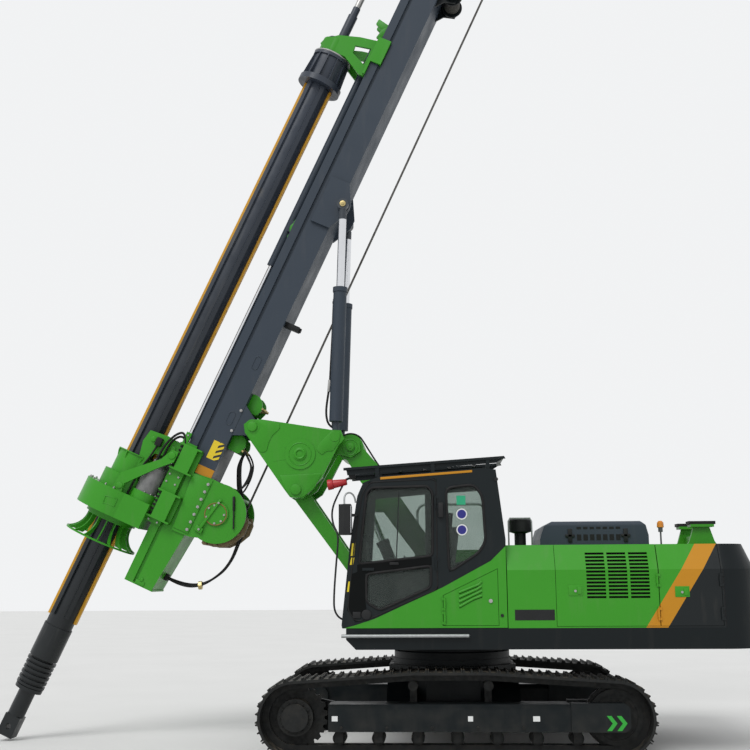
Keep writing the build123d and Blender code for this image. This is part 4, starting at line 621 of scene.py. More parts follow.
# Each finish with its slot and what makes it
FINISHES = {
    "green": ("green_paint", lambda: lacquer("green lacquer", GREEN, shine=0.28)),
    "housing": ("green_paint", lambda: lacquer("housing lacquer", GREEN, layers=swept_livery, shine=0.28)),
    "dark": ("dark_paint", lambda: lacquer("dark lacquer", DARK, 0.36, 0.04, shine=0.17)),
    "cab": ("dark_paint", lambda: lacquer("cab lacquer", (0.0110, 0.0150, 0.0165), 0.34, 0.03, shine=0.15)),
    "mast": ("dark_paint", lambda: lacquer("mast lacquer", (0.035, 0.047, 0.064), 0.42, 0.06, shine=0.24)),
    "orange": ("dark_paint", lambda: lacquer("orange lacquer", ORANGE, dust=0.05)),
    "keys": ("yellow_paint", key_lacquer),
    "kelly": ("bare_steel", kelly_steel),
    "track": ("track_steel", track_steel),
    "chrome": ("chrome_rod", polished_rod),
    "cylinder rod": ("chrome_rod", cylinder_rod),
    "rope": ("bare_steel", rope_wire),
    "glass": ("cab_pane", window_glass),
    "cloth": ("seat_fabric", seat_cloth),
    "hazard": ("yellow_paint", hazard_print),
    "amber": ("amber_plastic", amber_lens),
    "steel": ("bare_steel", lambda: plain(
        "turned steel", (14.0, 6), (0.30, 0.30, 0.30), (0.52, 0.51, 0.49), (0.28, 0.5, 40.0, 4),
        ((150.0, 4), 0.1, 0.002), metallic=0.85)),
    "galvanised": ("light_paint", lambda: plain(
        "galvanised tube", (35.0, 3), (0.26, 0.275, 0.28), (0.42, 0.43, 0.43), (0.35, 0.55, 25.0, 4),
        metallic=0.55)),
    "moulding": ("black_plastic", lambda: plain(
        "black moulding", (4.0, 5), (0.008, 0.0085, 0.009), (0.019, 0.020, 0.021), (0.42, 0.62, 9.0, 4),
        ((420.0, 2), 0.25, 0.0015), specular=0.25)),
    "rubber": ("black_rubber", lambda: plain(
        "black rubber", (8.0, 5), (0.006, 0.006, 0.007), (0.015, 0.015, 0.0145), (0.5, 0.75, 14.0, 4),
        ((300.0, 3), 0.15, 0.001), specular=0.25)),
    "gap": ("black_plastic", lambda: plain(
        "shadow gap", (20.0, 4), (0.004, 0.004, 0.004), (0.010, 0.010, 0.010), roughness=0.9)),
    "enamel": ("black_plastic", lambda: plain(
        "black enamel", (5.0, 4), (0.0020, 0.0028, 0.0028), (0.0035, 0.0045, 0.0045), (0.16, 0.26, 7.0, 5),
        specular=0.1)),
    "brass": ("bare_steel", lambda: plain(
        "brass fitting", (24.0, 5), (0.36, 0.27, 0.10), (0.62, 0.52, 0.26), (0.28, 0.5, 40.0, 4),
        ((160.0, 4), 0.1, 0.001), metallic=0.9)),
    "bronze": ("yellow_paint", lambda: plain(
        "aged bronze", (12.0, 7), (0.085, 0.055, 0.025), (0.24, 0.18, 0.09), (0.45, 0.7, 25.0, 4),
        ((60.0, 6), 0.3, 0.004), metallic=0.35)),
    "rust": ("yellow_paint", lambda: plain(
        "rust line", (25.0, 6), (0.16, 0.07, 0.02), (0.30, 0.16, 0.05), roughness=0.8)),
    "motor": ("bare_steel", lambda: plain(
        "motor casting", (9.0, 7), (0.035, 0.038, 0.040), (0.30, 0.30, 0.295), (0.4, 0.65, 16.0, 4),
        ((110.0, 5), 0.3, 0.003), metallic=0.25)),
    "white print": ("light_paint", lambda: flat_print("white print", (0.72, 0.73, 0.72))),
    "yellow print": ("yellow_paint", lambda: flat_print("yellow print", (0.72, 0.56, 0.01))),
    "green print": ("green_paint", lambda: flat_print("green print", (0.01, 0.33, 0.16))),
    "chevron print": ("green_paint", lambda: flat_print("chevron print", (0.020, 0.36, 0.030))),
    "blue print": ("dark_paint", lambda: flat_print("blue print", (0.012, 0.012, 0.19))),
    "red print": ("amber_plastic", lambda: flat_print("red print", (0.42, 0.012, 0.018))),
}
NODE_FINISH = {
    "house": "housing", "grille_door": "housing", "rear_door": "housing", "right_door": "housing",
    "cab_shell": "cab", "cab_door": "cab", "cab_guard": "cab", "mast": "mast", "mast_head": "mast",
    "mast_barrels": "mast", "crowd_barrel": "mast", "engine_hood": "mast", "mast_rods": "cylinder rod",
    "kelly": "kelly", "kelly_inner": "kelly", "kelly_keys": "keys", "drive_motors": "motor",
    "swivel": "steel", "main_drum": "rope",
}
SLOT_FINISH = {
    "green_paint": "green", "dark_paint": "dark", "yellow_paint": "keys", "light_paint": "galvanised",
    "track_steel": "track", "bare_steel": "steel", "chrome_rod": "chrome", "cab_pane": "glass",
    "black_plastic": "moulding", "amber_plastic": "amber", "black_rubber": "rubber", "seat_fabric": "cloth",
    "orange_paint": "orange",
}
MADE = {}


def material(finish):
    """Each finish is made once and then shared."""
    if finish not in MADE:
        MADE[finish] = FINISHES[finish][1]()
    return MADE[finish]


# Adjustable sizes
class RigStudio(bpy.types.PropertyGroup):
    pale_tone: bpy.props.FloatProperty(
        name="Background", description="Brightness of the pale background", default=0.90, min=0.0, max=1.0)
    sky_strength: bpy.props.FloatProperty(
        name="Sky", description="Strength of the even light", default=0.82, min=0.0)
    sun_strength: bpy.props.FloatProperty(
        name="Key light", description="Strength of the soft key light", default=1.5, min=0.0)
    eye_height: bpy.props.FloatProperty(
        name="Eye height", description="Height of the camera above the ground", default=1.93, unit="LENGTH")
    distance: bpy.props.FloatProperty(
        name="Distance", description="Camera to the machine's middle plane", default=13.9, unit="LENGTH")


class RigTrim(bpy.types.PropertyGroup):
    hose_radius: bpy.props.FloatProperty(
        name="Hose radius", description="Radius of the main hydraulic hoses", default=0.014, unit="LENGTH")
    rope_radius: bpy.props.FloatProperty(
        name="Rope radius", description="Radius of the hoist rope", default=0.014, unit="LENGTH")
    bolt_radius: bpy.props.FloatProperty(
        name="Bolt radius", description="Radius that the winch's bolt heads go by", default=0.024, unit="LENGTH")
    seal_radius: bpy.props.FloatProperty(
        name="Seal radius", description="Radius of the cab's rubber window seals", default=0.016, unit="LENGTH")


class RIG_OT_camera(bpy.types.Operator):
    """Set the camera at the eye's place beside the machine"""
    bl_idname = "rig.camera"
    bl_label = "Camera"

    def execute(self, context):
        studio = context.scene.rig_studio
        pitch, yaw, roll = math.atan2(HORIZON_PIXELS, FOCAL_PIXELS), math.radians(3.0), 0.006
        ahead = Vector((math.sin(yaw) * math.cos(pitch), -math.cos(yaw) * math.cos(pitch), math.sin(pitch)))
        across = Vector((-math.cos(yaw), -math.sin(yaw), 0))
        above = across.cross(ahead)
        level = across * math.cos(roll) - above * math.sin(roll)
        above = above * math.cos(roll) + across * math.sin(roll)
        lens = bpy.data.cameras.new("eye")
        lens.sensor_width = SENSOR
        lens.lens = SENSOR * FOCAL_PIXELS / FRAME_PIXELS
        lens.clip_end = 200.0
        eye = bpy.data.objects.new("eye", lens)
        context.collection.objects.link(eye)
        turn = Matrix((level, above, -ahead)).transposed().to_4x4()
        eye.matrix_world = Matrix.Translation((SLEW_X + 0.20, studio.distance, studio.eye_height)) @ turn
        context.scene.camera = eye
        return {"FINISHED"}


class RIG_OT_finishes(bpy.types.Operator):
    """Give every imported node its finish"""
    bl_idname = "rig.finishes"
    bl_label = "Finishes"

    def execute(self, context):
        for entry in frame["record"]["subparts"]:
            name = entry["node"]
            finish = NODE_FINISH.get(name) or SLOT_FINISH[entry["material_slot"]]
            for holder in frame["nodes"][name].material_slots:
                holder.material = material(finish)
        return {"FINISHED"}


class RIG_OT_hoses(bpy.types.Operator):
    """Lay the hydraulic hoses of the mast, the cylinders and the drive"""
    bl_idname = "rig.hoses"
    bl_label = "Hoses"

    def execute(self, context):
        radius = context.scene.rig_trim.hose_radius
        loops = []
        for number, y in enumerate((-0.115, -0.075, 0.055, 0.09)):
            out = number / 3
            bend = route(on_mast, y, (0.08 - out * 0.05, -0.33), (0.10 - out * 0.057, -0.475 + out * 0.062),
                         (0.03 - out * 0.06, -0.64 + out * 0.04), (-0.05 - out * 0.088, -0.794),
                         (-0.17 - out * 0.09, -0.93), (-0.31 - out * 0.03, -1.06))
            if number < 3:
                sag = number * 0.014
                bend += route(on_mast, -0.03 + number * 0.03, (-0.345, -1.2, y), (-0.365, -1.42, y * 0.7),
                              (-0.38, -1.62), (-0.33, -1.83), (-0.16, -2.06 - sag), (0.10, -2.15 - sag),
                              (0.30, -2.15))
            else:
                bend += route(on_mast, y, (-0.34, -1.12), (-0.34, -1.3), (-0.24, -1.44))
            loops.append(tube(bend, radius))
        for number, y in enumerate((-0.16, 0.13, 0.165, 0.20)):
            out = number / 3
            loops.append(tube(route(on_mast, y, (0.03, -0.31), (-0.08 - out * 0.095, -0.38 - out * 0.077),
                                    (-0.13 - out * 0.065, -0.55 - out * 0.03), (-0.13 - out * 0.038, -0.706),
                                    (-0.11, -0.81), (-0.05, -0.90)), radius * 0.8))
        loops.append(box((0.262, -0.06, -2.19), (0.305, 0.06, -2.11), place=on_mast))
        fit(loops, "mast_hoses", "mast", "rubber")

        fittings = []
        for s, drop in ((0.26, 0.02), (-0.28, -0.045)):
            for number in range(7):
                y = -0.165 + number * 0.055
                end = on_mast(0.045 - (number % 2) * 0.03, s + drop, y)
                fittings.append(rod(on_mast(0.11, s, y), end, 0.017, 6))
        fittings.append(rod(on_mast(-0.17, -2.055), on_mast(-0.13, -2.075), 0.052, 8))
        fit(fittings, "hose_fittings", "mast", "brass")

        pipes = []
        unions = []
        for y in (0.43, -0.43):
            pipes.append(tube(route(side, y, (1.395, 5.47), (1.43, 5.46), (1.432, 5.40), (1.447, 5.0), (1.476, 4.43),
                                    (1.478, 4.40)), 0.011, smooth=False))
            pipes.append(tube(route(side, y, (1.49, 4.27), (1.515, 4.12), (1.525, 3.96), (1.49, 3.83),
                                    (1.425, 3.80)), 0.014))
            pipes.append(box((1.36, y - 0.02, 5.40), (1.445, y + 0.02, 5.43)))
            unions.append(rod(side(1.478, 4.41, y), side(1.49, 4.26, y), 0.020, 8, edge=0.003))
        fit(pipes, "cylinder_hoses", "mast_barrels", "rubber")
        fit(unions, "cylinder_fittings", "mast_barrels", "steel")

        drive = []
        for hand in HANDS:
            for y, shift in ((0.295, 0.0), (0.33, 0.05)):
                drive.append(tube(route(on_mast, hand * y, (0.92 + shift, -0.875), (0.93 + shift, -0.70),
                                        (0.90, -0.52 + shift), (0.79, -0.44 + shift), (0.728, -0.53)), 0.015))
            low, high = layer(hand, 0.263, 0.325)
            drive.append(box((1.02, low, -0.70), (1.10, high, -0.59), 0.008, on_mast))
            drop = [on_mast(t, s, hand * y) for t, s, y in (
                (1.06, -0.69, 0.295), (1.075, -0.85, 0.30), (1.115, -1.00, 0.31), (1.125, -1.20, 0.32),
                (1.13, -1.395, 0.33))]
            drive.append(tube(drop, 0.012))
        fit(drive, "drive_hoses", "carriage", "rubber")

        boom = [tube(arc((1.228, 3.569), 0.180, 40, 145, side, y) + route(side, y, (0.86, 3.31), (0.62, 2.98)),
                     0.011) for y in (0.235, 0.262)]
        fit(boom, "boom_hoses", "boom", "rubber")
        return {"FINISHED"}


class RIG_OT_ropes(bpy.types.Operator):
    """Run the hoist rope from the winch over the head to the swivel"""
    bl_idname = "rig.ropes"
    bl_label = "Ropes"

    def execute(self, context):
        radius = context.scene.rig_trim.rope_radius
        points = [on_mast(-0.285, -1.16), on_mast(-0.262, 10.62)]
        points += arc((0.03, 10.64), 0.286, 175, 92) + arc((1.01, 10.62), 0.286, 88, 2)
        fit(tube(points, radius, smooth=False), "hoist_rope", "mast", "rope")

        top, swivel = points[-1], on_mast(KELLY_T, 6.2)
        steps = 44
        fall = [top.lerp(swivel, number / steps) for number in range(steps + 1)]
        fit(tube(fall, radius, smooth=False), "fall_rope", "mast", "rope", stretch=("kelly_guide", top, swivel))
        return {"FINISHED"}


class RIG_OT_mast_trim(bpy.types.Operator):
    """Put the pressed ovals, stickers, band and small brackets on the mast"""
    bl_idname = "rig.mast_trim"
    bl_label = "Mast trim"

    def execute(self, context):
        skin = MAST_SIDE + 0.0005
        ovals = []
        for y in (skin, -skin):
            for s in (0.0, 0.78):
                shape = arc((0.35, s + 0.05), 0.04, 0, 180, y=y) + arc((0.35, s - 0.05), 0.04, 180, 360, y=y)
                ovals.append(tube(shape, 0.006, closed=True, smooth=False, sides=1))
        fit(ovals, "mast_ovals", "mast", "mast")
        fit(box_pair(skin, MAST_SIDE + 0.0025, (0.247, -0.805), (0.545, -0.69), 0.0, on_mast),
            "mast_band", "mast", "orange")
        fit(box_pair(skin, MAST_SIDE + 0.003, (0.265, -0.575), (0.42, -0.335), 0.0, on_mast),
            "mast_signs", "mast", "hazard")

        lugs = []
        for near, far, rounding, outline in (
                (0.15, 0.18, 0.03, [(0.25, 0.18), (0.25, 0.41), (0.16, 0.41), (0.09, 0.36), (0.05, 0.26),
                                    (0.09, 0.16)]),
                (0.15, 0.18, 0.03, [(0.25, -0.36), (0.25, -0.13), (0.16, -0.13), (0.07, -0.17), (0.04, -0.26),
                                    (0.09, -0.37)]),
                (0.112, 0.128, 0.02, [(0.66, 2.45), (0.735, 2.46), (0.755, 2.52), (0.735, 2.57), (0.765, 2.61),
                                      (0.775, 2.66), (0.75, 2.71), (0.75, 2.77), (0.66, 2.78)]),
                (0.06, 0.085, 0.015, [(0.55, 5.60), (0.55, 5.82), (0.72, 5.80), (0.91, 5.845), (0.918, 5.76),
                                      (0.81, 5.71), (0.835, 5.575), (0.772, 5.57), (0.735, 5.68), (0.70, 5.62)])):
            lugs += plate_pair(near, far, round_outline(outline, rounding), 0.004, on_mast)
        for s in (0.285, -0.25):
            lugs.append(box((0.10, -0.15, s - 0.03), (0.13, 0.15, s + 0.03), place=on_mast))
        lugs.append(box((0.74, -0.062, 5.72), (0.80, 0.062, 5.78), 0.006, on_mast))
        fit(lugs, "mast_lugs", "mast", "green")

        sensor = [box((0.05, 0.10, 1.37), (0.244, 0.22, 1.44), 0.008, on_mast),
                  rod(on_mast(0.052, 1.405, 0.16), on_mast(0.03, 1.405, 0.16), 0.033, edge=0.004)]
        fit(sensor, "mast_sensor", "mast", "moulding")

        studs = [bolts([on_mast(0.268, s, hand * MAST_SIDE) for s in (0.14, -0.14)], outward(hand), 0.020, 0.014)
                 for hand in HANDS]
        fit(studs, "mast_studs", "mast", "steel")

        tabs = []
        for low, high in (((0.44, -2.345), (0.56, -2.295)), ((0.478, -2.31), (0.508, -2.255))):
            tabs += box_pair(MAST_SIDE, MAST_SIDE + 0.01, low, high, 0.003, on_mast)
        fit(tabs, "foot_tabs", "mast", "green")
        return {"FINISHED"}


class RIG_OT_winch_trim(bpy.types.Operator):
    """Bolt the winch plates, wind the rope and add the rope guide"""
    bl_idname = "rig.winch_trim"
    bl_label = "Winch trim"

    def execute(self, context):
        bolt = context.scene.rig_trim.bolt_radius
        straps = []
        for near, far, edge, outline in (
                (0.0, 0.014, 0.003, [(0.476, -0.824), (0.203, -0.806), (0.208, -1.532), (0.412, -1.532)]),
                (0.022, 0.040, 0.004, [(-0.012, -0.975), (0.022, -0.985), (0.118, -1.42), (0.084, -1.435)]),
                (0.010, 0.034, 0.004, [(0.050, -1.40), (0.150, -1.38), (0.160, -1.45), (0.055, -1.47)])):
            straps += plate_pair(WINCH_SIDE + near, WINCH_SIDE + far, outline, edge, on_mast)
        fit(straps, "winch_straps", "mast", "green")

        heads = []
        rings = []
        bars = []
        for hand in HANDS:
            places = [on_mast(0.236, -0.875 - 0.102 * number, hand * (WINCH_SIDE + 0.014)) for number in range(7)]
            heads.append(bolts(places, outward(hand), bolt * 0.85, 0.018))
            places = around(on_mast, (-0.008, -1.175), 0.112, (20, 60, 160, 205, 250, 320),
                            hand * (WINCH_SIDE + 0.022))
            places += [on_mast(0.10, -1.425, hand * (WINCH_SIDE + 0.034)),
                       on_mast(0.01, -1.03, hand * (WINCH_SIDE + 0.040))]
            heads.append(bolts(places, outward(hand), bolt * 0.62, 0.014))
            rings.append(ring(on_mast(-0.010, -1.17, hand * (WINCH_SIDE + 0.023)), outward(1), 0.137, 0.006))
            start, knee, end = route(on_mast, hand * (WINCH_SIDE + 0.018), (-0.125, -0.88), (-0.20, -1.04),
                                     (-0.295, -1.25))
            bars += [rod(start, knee, 0.016, 14, edge=0.003), rod(knee, end, 0.010, 12)]
        fit(heads, "winch_bolts", "mast", "steel")
        fit(rings, "winch_rust_rings", "mast", "rust")
        fit(bars, "winch_valves", "mast", "moulding")

        outer = [(0.03, -1.575), (-0.13, -1.555), (-0.26, -1.50), (-0.36, -1.39), (-0.425, -1.26), (-0.42, -1.13),
                 (-0.375, -1.05)]
        inner = [(-0.30, -1.07), (-0.335, -1.15), (-0.335, -1.27), (-0.25, -1.40), (-0.12, -1.485), (0.03, -1.525)]
        guide = plate_pair(0.15, 0.21, outer + inner, 0.010, on_mast)
        for t, s in ((-0.365, -1.11), (-0.36, -1.28), (-0.15, -1.51)):
            guide.append(stud(on_mast, t, s, -0.29, 0.29, 0.024, 20, 0.004))
        guide.append(stud(on_mast, -0.02, -1.55, -0.295, 0.295, 0.028, 20, 0.004))
        fit(guide, "rope_guide", "mast", "bronze")

        fit(coils(-0.045, -1.16, -0.245, 0.0288, 18, 0.203, 0.014, 36), "winch_rope", "main_drum", "rope")
        fit(coils(0.10, 6.50, -0.125, 0.025, 11, 0.096, 0.012, 30), "aux_rope", "aux_drum", "rope")

        collar = [ring(on_mast(KELLY_T, 5.085), UPWARD, 0.256, 0.012, 48)]
        collar += [cap(spot, -UPWARD, 0.02, 0.010, 6)
                   for spot in around(mast_section, (KELLY_T, 0.0), 0.235, range(7, 360, 15), 5.090)]
        fit(collar, "drum_bearing", "kelly", "steel")
        return {"FINISHED"}


class RIG_OT_cab_trim(bpy.types.Operator):
    """Fit the cab's seals, roof strip, handles, lamp, mirror and blank signs"""
    bl_idname = "rig.cab_trim"
    bl_label = "Cab trim"

    def execute(self, context):
        seal = context.scene.rig_trim.seal_radius
        upper = [(1.050, 2.108), (0.961, 2.911), (0.904, 2.968), (0.259, 2.980), (0.204, 2.904), (0.215, 2.195)]
        lower = [(0.966, 1.997), (0.235, 2.084), (0.239, 1.846), (0.818, 1.594), (0.967, 1.686)]
        rear = [(0.052, 2.959), (-0.269, 2.993), (-0.360, 2.861), (-0.385, 2.357), (-0.308, 2.228), (0.032, 2.010)]
        door = [(0.165, 1.826), (0.595, 1.650), (0.865, 1.528), (1.085, 1.470), (1.178, 1.600), (1.100, 2.330),
                (1.010, 2.900), (0.925, 3.030), (0.165, 3.060)]
        band = [(1.070, 2.100), (1.068, 2.02), (1.13, 2.00), (1.172, 1.62), (1.10, 1.50), (0.96, 1.56), (0.978, 1.70),
                (0.978, 2.00), (0.226, 2.092), (0.226, 2.18)]
        strip = [(0.80, 3.088), (-0.25, 3.158), (-0.25, 3.132), (0.80, 3.060)]
        seal_y = DECK_SIDE - 0.004
        fit([hoop(pane, 0.05, seal_y, seal) for pane in (upper, lower)], "door_seals", "cab_door", "rubber")
        fit(plate(band, DECK_SIDE - 0.002, DECK_SIDE + 0.003), "pane_bands", "cab_door", "enamel")
        fit([hoop(rear, 0.08, seal_y, seal), hoop(door, 0.06, DECK_SIDE + 0.001, 0.007)],
            "cab_seals", "upper", "rubber")
        fit(plate(strip, DECK_SIDE - 0.001, DECK_SIDE + 0.006, 0.002), "roof_strip", "upper", "orange")

        handles = [deck_box((0.60, 2.095), (0.70, 2.125), 0.02, 0.036, 0.008)]
        handles += [deck_box((x, 2.10), (x + 0.02, 2.12), 0.0, 0.03) for x in (0.605, 0.675)]
        handles.append(deck_knob(0.967, 1.549, 0.02, 0.055, 24, 0.005))
        handles.append(deck_box((1.03, 1.51), (1.12, 1.58), 0.0, 0.014, 0.005))
        fit(handles, "door_handles", "cab_door", "moulding")

        covers = [deck_box((0.085, 2.62), (0.145, 2.79), 0.0, 0.045, 0.012), deck_knob(-0.52, 3.05, 0.02, 0.022, 24)]
        fit(covers, "pillar_covers", "upper", "moulding")
        fit(tube(route(side, 1.402, (0.588, 2.93), (0.625, 2.17)), 0.007, smooth=False),
            "pane_bar", "cab_door", "moulding")

        sign = -0.0095
        fit(deck_box((-0.167, 2.765), (-0.066, 2.868), sign, sign + 0.002, 0.0), "green_sign", "upper", "green print")
        centres = route(side, DECK_SIDE + sign, (-0.121, 2.660), (-0.121, 2.483))
        rims = [cap(centre, outward(1), 0.0015, 0.062, 32) for centre in centres]
        discs = [cap(centre, outward(1), 0.0026, 0.050, 32, sunk=0.0012) for centre in centres]
        fit(rims, "sign_rims", "upper", "white print")
        fit(discs, "sign_discs", "upper", "blue print")

        notes = []
        for z0, z1 in ((2.20, 2.34), (2.10, 2.18), (1.80, 1.915)):
            x = 1.232 - (z0 - 1.43) * 0.107
            notes.append(plate([(x - 0.045, z0), (x - 0.008, z0), (x - 0.024, z1), (x - 0.06, z1)],
                               DECK_SIDE - 0.001, DECK_SIDE + 0.002))
        fit(notes, "cab_notes", "upper", "yellow print")

        lamp_y = 1.22
        foot, neck, rim = route(side, lamp_y, (1.20, 3.055), (1.36, 3.03), (1.425, 3.02))
        fit([rod(foot, neck, 0.035, 20, 0.05, 0.006), rod(neck, rim, 0.058, 24, 0.062, 0.006)],
            "front_lamp", "upper", "red print")
        arm = [tube(route(side, lamp_y, (1.14, 3.10), (1.20, 3.10), (1.23, 3.06)), 0.014),
               box((1.10, lamp_y - 0.05, 3.085), (1.17, lamp_y + 0.05, 3.17), 0.006),
               tube(route(side, 1.40, (1.24, 3.03, lamp_y), (1.33, 2.86, 1.25), (1.375, 2.70, 1.28),
                          (1.35, 2.55, 1.32), (1.30, 2.47, 1.36), (1.285, 2.37), (1.31, 2.1), (1.335, 1.75),
                          (1.33, 1.58), (1.25, 1.49, 1.38), (1.19, 1.49, 1.38)), 0.011)]
        fit(arm, "lamp_arm", "upper", "moulding")

        stay = tube(route(side, 0.0, (1.20, 2.765, 1.56), (1.215, 2.87, 1.54), (1.15, 2.92, 1.50),
                          (1.09, 2.87, 1.45), (1.085, 2.80, 1.425)), 0.010)
        fit(stay, "mirror_stay", "upper", "galvanised")
        fit(box((1.119, 1.50, 2.45), (1.1245, 1.66, 2.75), 0.0), "mirror_glass", "upper", "chrome")

        skirts = [plate([(1.195, 3.178), (1.185, 3.12), (-0.53, 3.245), (-0.60, 3.29)], y, y + 0.006)
                  for y in (0.565, 1.345)]
        fit(skirts, "guard_skirts", "upper", "cab")
        return {"FINISHED"}


class RIG_OT_deck_trim(bpy.types.Operator):
    """Add latches, painted shade in the hood's vent slots and behind the grille and louvres, louvre lips, blank plates
    and the pre-cleaner's guard
    """
    bl_idname = "rig.deck_trim"
    bl_label = "Deck trim"

    def execute(self, context):
        # The near-black sheet behind the grille's slots is painted shade.
        bent = [(1.377, 1.68), (1.369, 1.68), (1.367, 2.02), (1.266, 2.256), (1.274, 2.259), (1.375, 2.023)]
        fit(plate(bent, -2.23, -1.44, place=rear_view, along=(1, 0, 0)), "grille_painted_shade", "grille_door", "gap")
        # The near-black sheet behind the louvre slots is painted shade.
        fit(deck_box((-0.36, 1.58), (-0.06, 1.93), -0.046, -0.039, 0.0), "louvre_painted_shade", "louvre_door", "gap")
        fit(deck_box((-1.13, 1.48), (-0.69, 1.595), 0.0, 0.003, 0.0), "blank_plate", "upper", "moulding")
        fit(deck_knob(-0.425, 1.693, 0.012, 0.022), "louvre_lock", "louvre_door", "steel")
        fit(deck_knob(-0.549, 1.533, 0.008, 0.018), "cover_lock", "upper", "moulding")
        for name, x, z, hand in (("grille_door", -1.37, 1.803, 1), ("rear_door", -2.542, 1.784, 1),
                                 ("right_door", -1.37, 1.803, -1)):
            latch = []
            for left, right, half, near, far in ((0.079, 0.079, 0.058, 0.0, 0.006),
                                                 (0.064, -0.018, 0.040, 0.005, 0.014)):
                low, high = layer(hand, DECK_SIDE + near, DECK_SIDE + far)
                latch.append(box((x - left, low, z - half), (x + right, high, z + half), 0.003))
            fit(latch, name + "_latch", name, "green")
            fit(deck_knob(x + 0.004, z - 0.006, 0.016, 0.014, hand=hand), name + "_lock", name, "steel")

        hood_side = 0.598
        # Near-black slots on the hood's sides and top are painted shade in its vent openings.
        vent_shade = []
        for column in range(7):
            x = -2.030 + column * 0.0775
            for low, high in ((2.515, 2.541), (2.382, 2.452)):
                vent_shade += box_pair(hood_side, hood_side + 0.005, (x, low), (x + 0.052, high), 0.0)
        for row in range(5):
            x = -2.16 + row * 0.19
            vent_shade.append(box((x, -0.45, 2.607), (x + 0.05, 0.45, 2.613), 0.0))
        fit(vent_shade, "hood_vent_shade", "engine_hood", "gap")

        catches = []
        for x in (-2.115, -1.455):
            for low, high in (((x, 2.36), (x + 0.05, 2.52)), ((x - 0.03, 2.42), (x + 0.08, 2.455))):
                catches += box_pair(hood_side, hood_side + 0.02, low, high, 0.006)
        fit(catches, "hood_catches", "engine_hood", "moulding")

        lips = []
        for row in range(4):
            low = 1.610 + row * 0.052
            lips.append(tube(route(side, DECK_SIDE, (-0.075, low + 0.022), (-0.235 - row * 0.02, low + 0.108),
                                   (-0.33, low + 0.142)), 0.015, smooth=False))
        fit(lips, "louvre_lips", "louvre_door", "green")

        guard = tube(route(side, 0.46, (-0.99, 2.33), (-0.99, 2.62), (-0.97, 2.66), (-0.73, 2.66), (-0.71, 2.62),
                           (-0.71, 2.33)), 0.010, smooth=False)
        fit(guard, "cleaner_guard", "upper", "galvanised")

        seams = [tube(route(side, hand * (DECK_SIDE + 0.0005), (-3.0, 1.41), (-3.0, 2.03)), 0.004, smooth=False,
                      sides=1) for hand in HANDS]
        fit(seams, "tail_seams", "upper", "gap")
        return {"FINISHED"}


class RIG_OT_track_trim(bpy.types.Operator):
    """Add the undercarriage's blank notes, chevrons and bolts"""
    bl_idname = "rig.track_trim"
    bl_label = "Track trim"

    def execute(self, context):
        notes = []
        for x, wide in ((1.29, 0.065), (-0.93, 0.075), (-0.20, 0.055)):
            notes += box_pair(TRACK_FRAME_SIDE + 0.0002, TRACK_FRAME_SIDE + 0.0025, (x, 0.40), (x + wide, 0.455), 0.0)
        fit(notes, "frame_notes", "undercarriage", "white print")

        marks = []
        for x in (-1.65, -1.758):
            marks += plate_pair(TRACK_FRAME_SIDE + 0.0202, TRACK_FRAME_SIDE + 0.023, [
                (x, 0.461), (x - 0.05, 0.461), (x - 0.112, 0.382), (x - 0.05, 0.304), (x, 0.304), (x - 0.062, 0.382)])
        fit(marks, "frame_chevrons", "undercarriage", "chevron print")

        heads = []
        for hand in HANDS:
            idler = around(side, (1.77, 0.43), 0.165, range(0, 360, 30), hand * 1.35)
            heads.append(bolts(idler, outward(hand), 0.016, 0.012))
            row = [side(x, 0.33, hand * TRACK_FRAME_SIDE) for x in (1.25, 0.75, 0.25, -0.25, -0.75)]
            heads.append(bolts(row, outward(hand), 0.018, 0.014))
        fit(heads, "frame_bolts", "undercarriage", "track")
        return {"FINISHED"}


class RIG_OT_drive_trim(bpy.types.Operator):
    """Bolt the rotary drive and carriage and add their fittings"""
    bl_idname = "rig.drive_trim"
    bl_label = "Drive trim"

    def execute(self, context):
        heads = [bolts(around(mast_section, (KELLY_T, 0.0), 0.462, range(-90, 91, 15), -1.40), UPWARD, 0.015, 0.018)]
        shade_blocks = []
        pins = []
        motors = []
        for hand in HANDS:
            motor = (MOTOR_T, hand * MOTOR_Y)
            heads.append(bolts(around(mast_section, motor, 0.1525, range(100, 261, 32), -1.29), UPWARD, 0.010, 0.014))
            places = route(on_mast, hand * 0.34, (0.62, -0.95), (0.62, -1.05), (0.62, -1.565), (0.74, -0.42),
                           (0.74, -0.95), (0.74, -1.05), (0.74, -1.565))
            heads.append(bolts(places, outward(hand), 0.013, 0.012))

            # Rows of near-black blocks on the guide claws are painted shade.
            for low, high in ((-0.83, -0.58), (-1.48, -1.21)):
                for number in range(6):
                    s = low + (high - low) * number / 5
                    y = hand * 0.356
                    shade_blocks.append(box((0.722, y - 0.017, s - 0.013), (0.768, y + 0.017, s + 0.013), place=on_mast))

            for t, s, face, radius in ((0.86, -0.655, 0.262, 0.035), (1.15, -0.64, 0.262, 0.035),
                                       (0.79, -0.735, 0.442, 0.045), (1.235, -1.335, 0.442, 0.040)):
                pins.append(stud(on_mast, t, s, hand * (face - 0.004), hand * (face + 0.014), radius, edge=0.004))
            rim = [on_mast(t, s, hand * math.sqrt(0.490 ** 2 - (t - KELLY_T) ** 2))
                   for t, s in ((1.324, -1.521), (1.174, -1.498), (1.169, -1.598), (1.313, -1.611))]
            pins.append(tube(rim, 0.009, closed=True, smooth=False, sides=2))

            motors.append(cap(mast_section(*motor, -0.975), UPWARD, 0.016, 0.1435, 32, 0.003))
            motors += [cap(spot, UPWARD, 0.012, 0.010, 6)
                       for spot in around(mast_section, motor, 0.125, range(15, 375, 60), -0.96)]
            low, high = layer(hand, MOTOR_Y - 0.04, MOTOR_Y + 0.04)
            motors.append(box((0.885, low, -0.862), (0.995, high, -0.83), 0.006, on_mast))
        fit(heads, "drive_bolts", "carriage", "steel")
        fit(shade_blocks, "claw_shade_blocks", "carriage", "gap")
        fit(pins, "arm_pins", "carriage", "green")
        fit(motors, "motor_caps", "carriage", "motor")
        return {"FINISHED"}


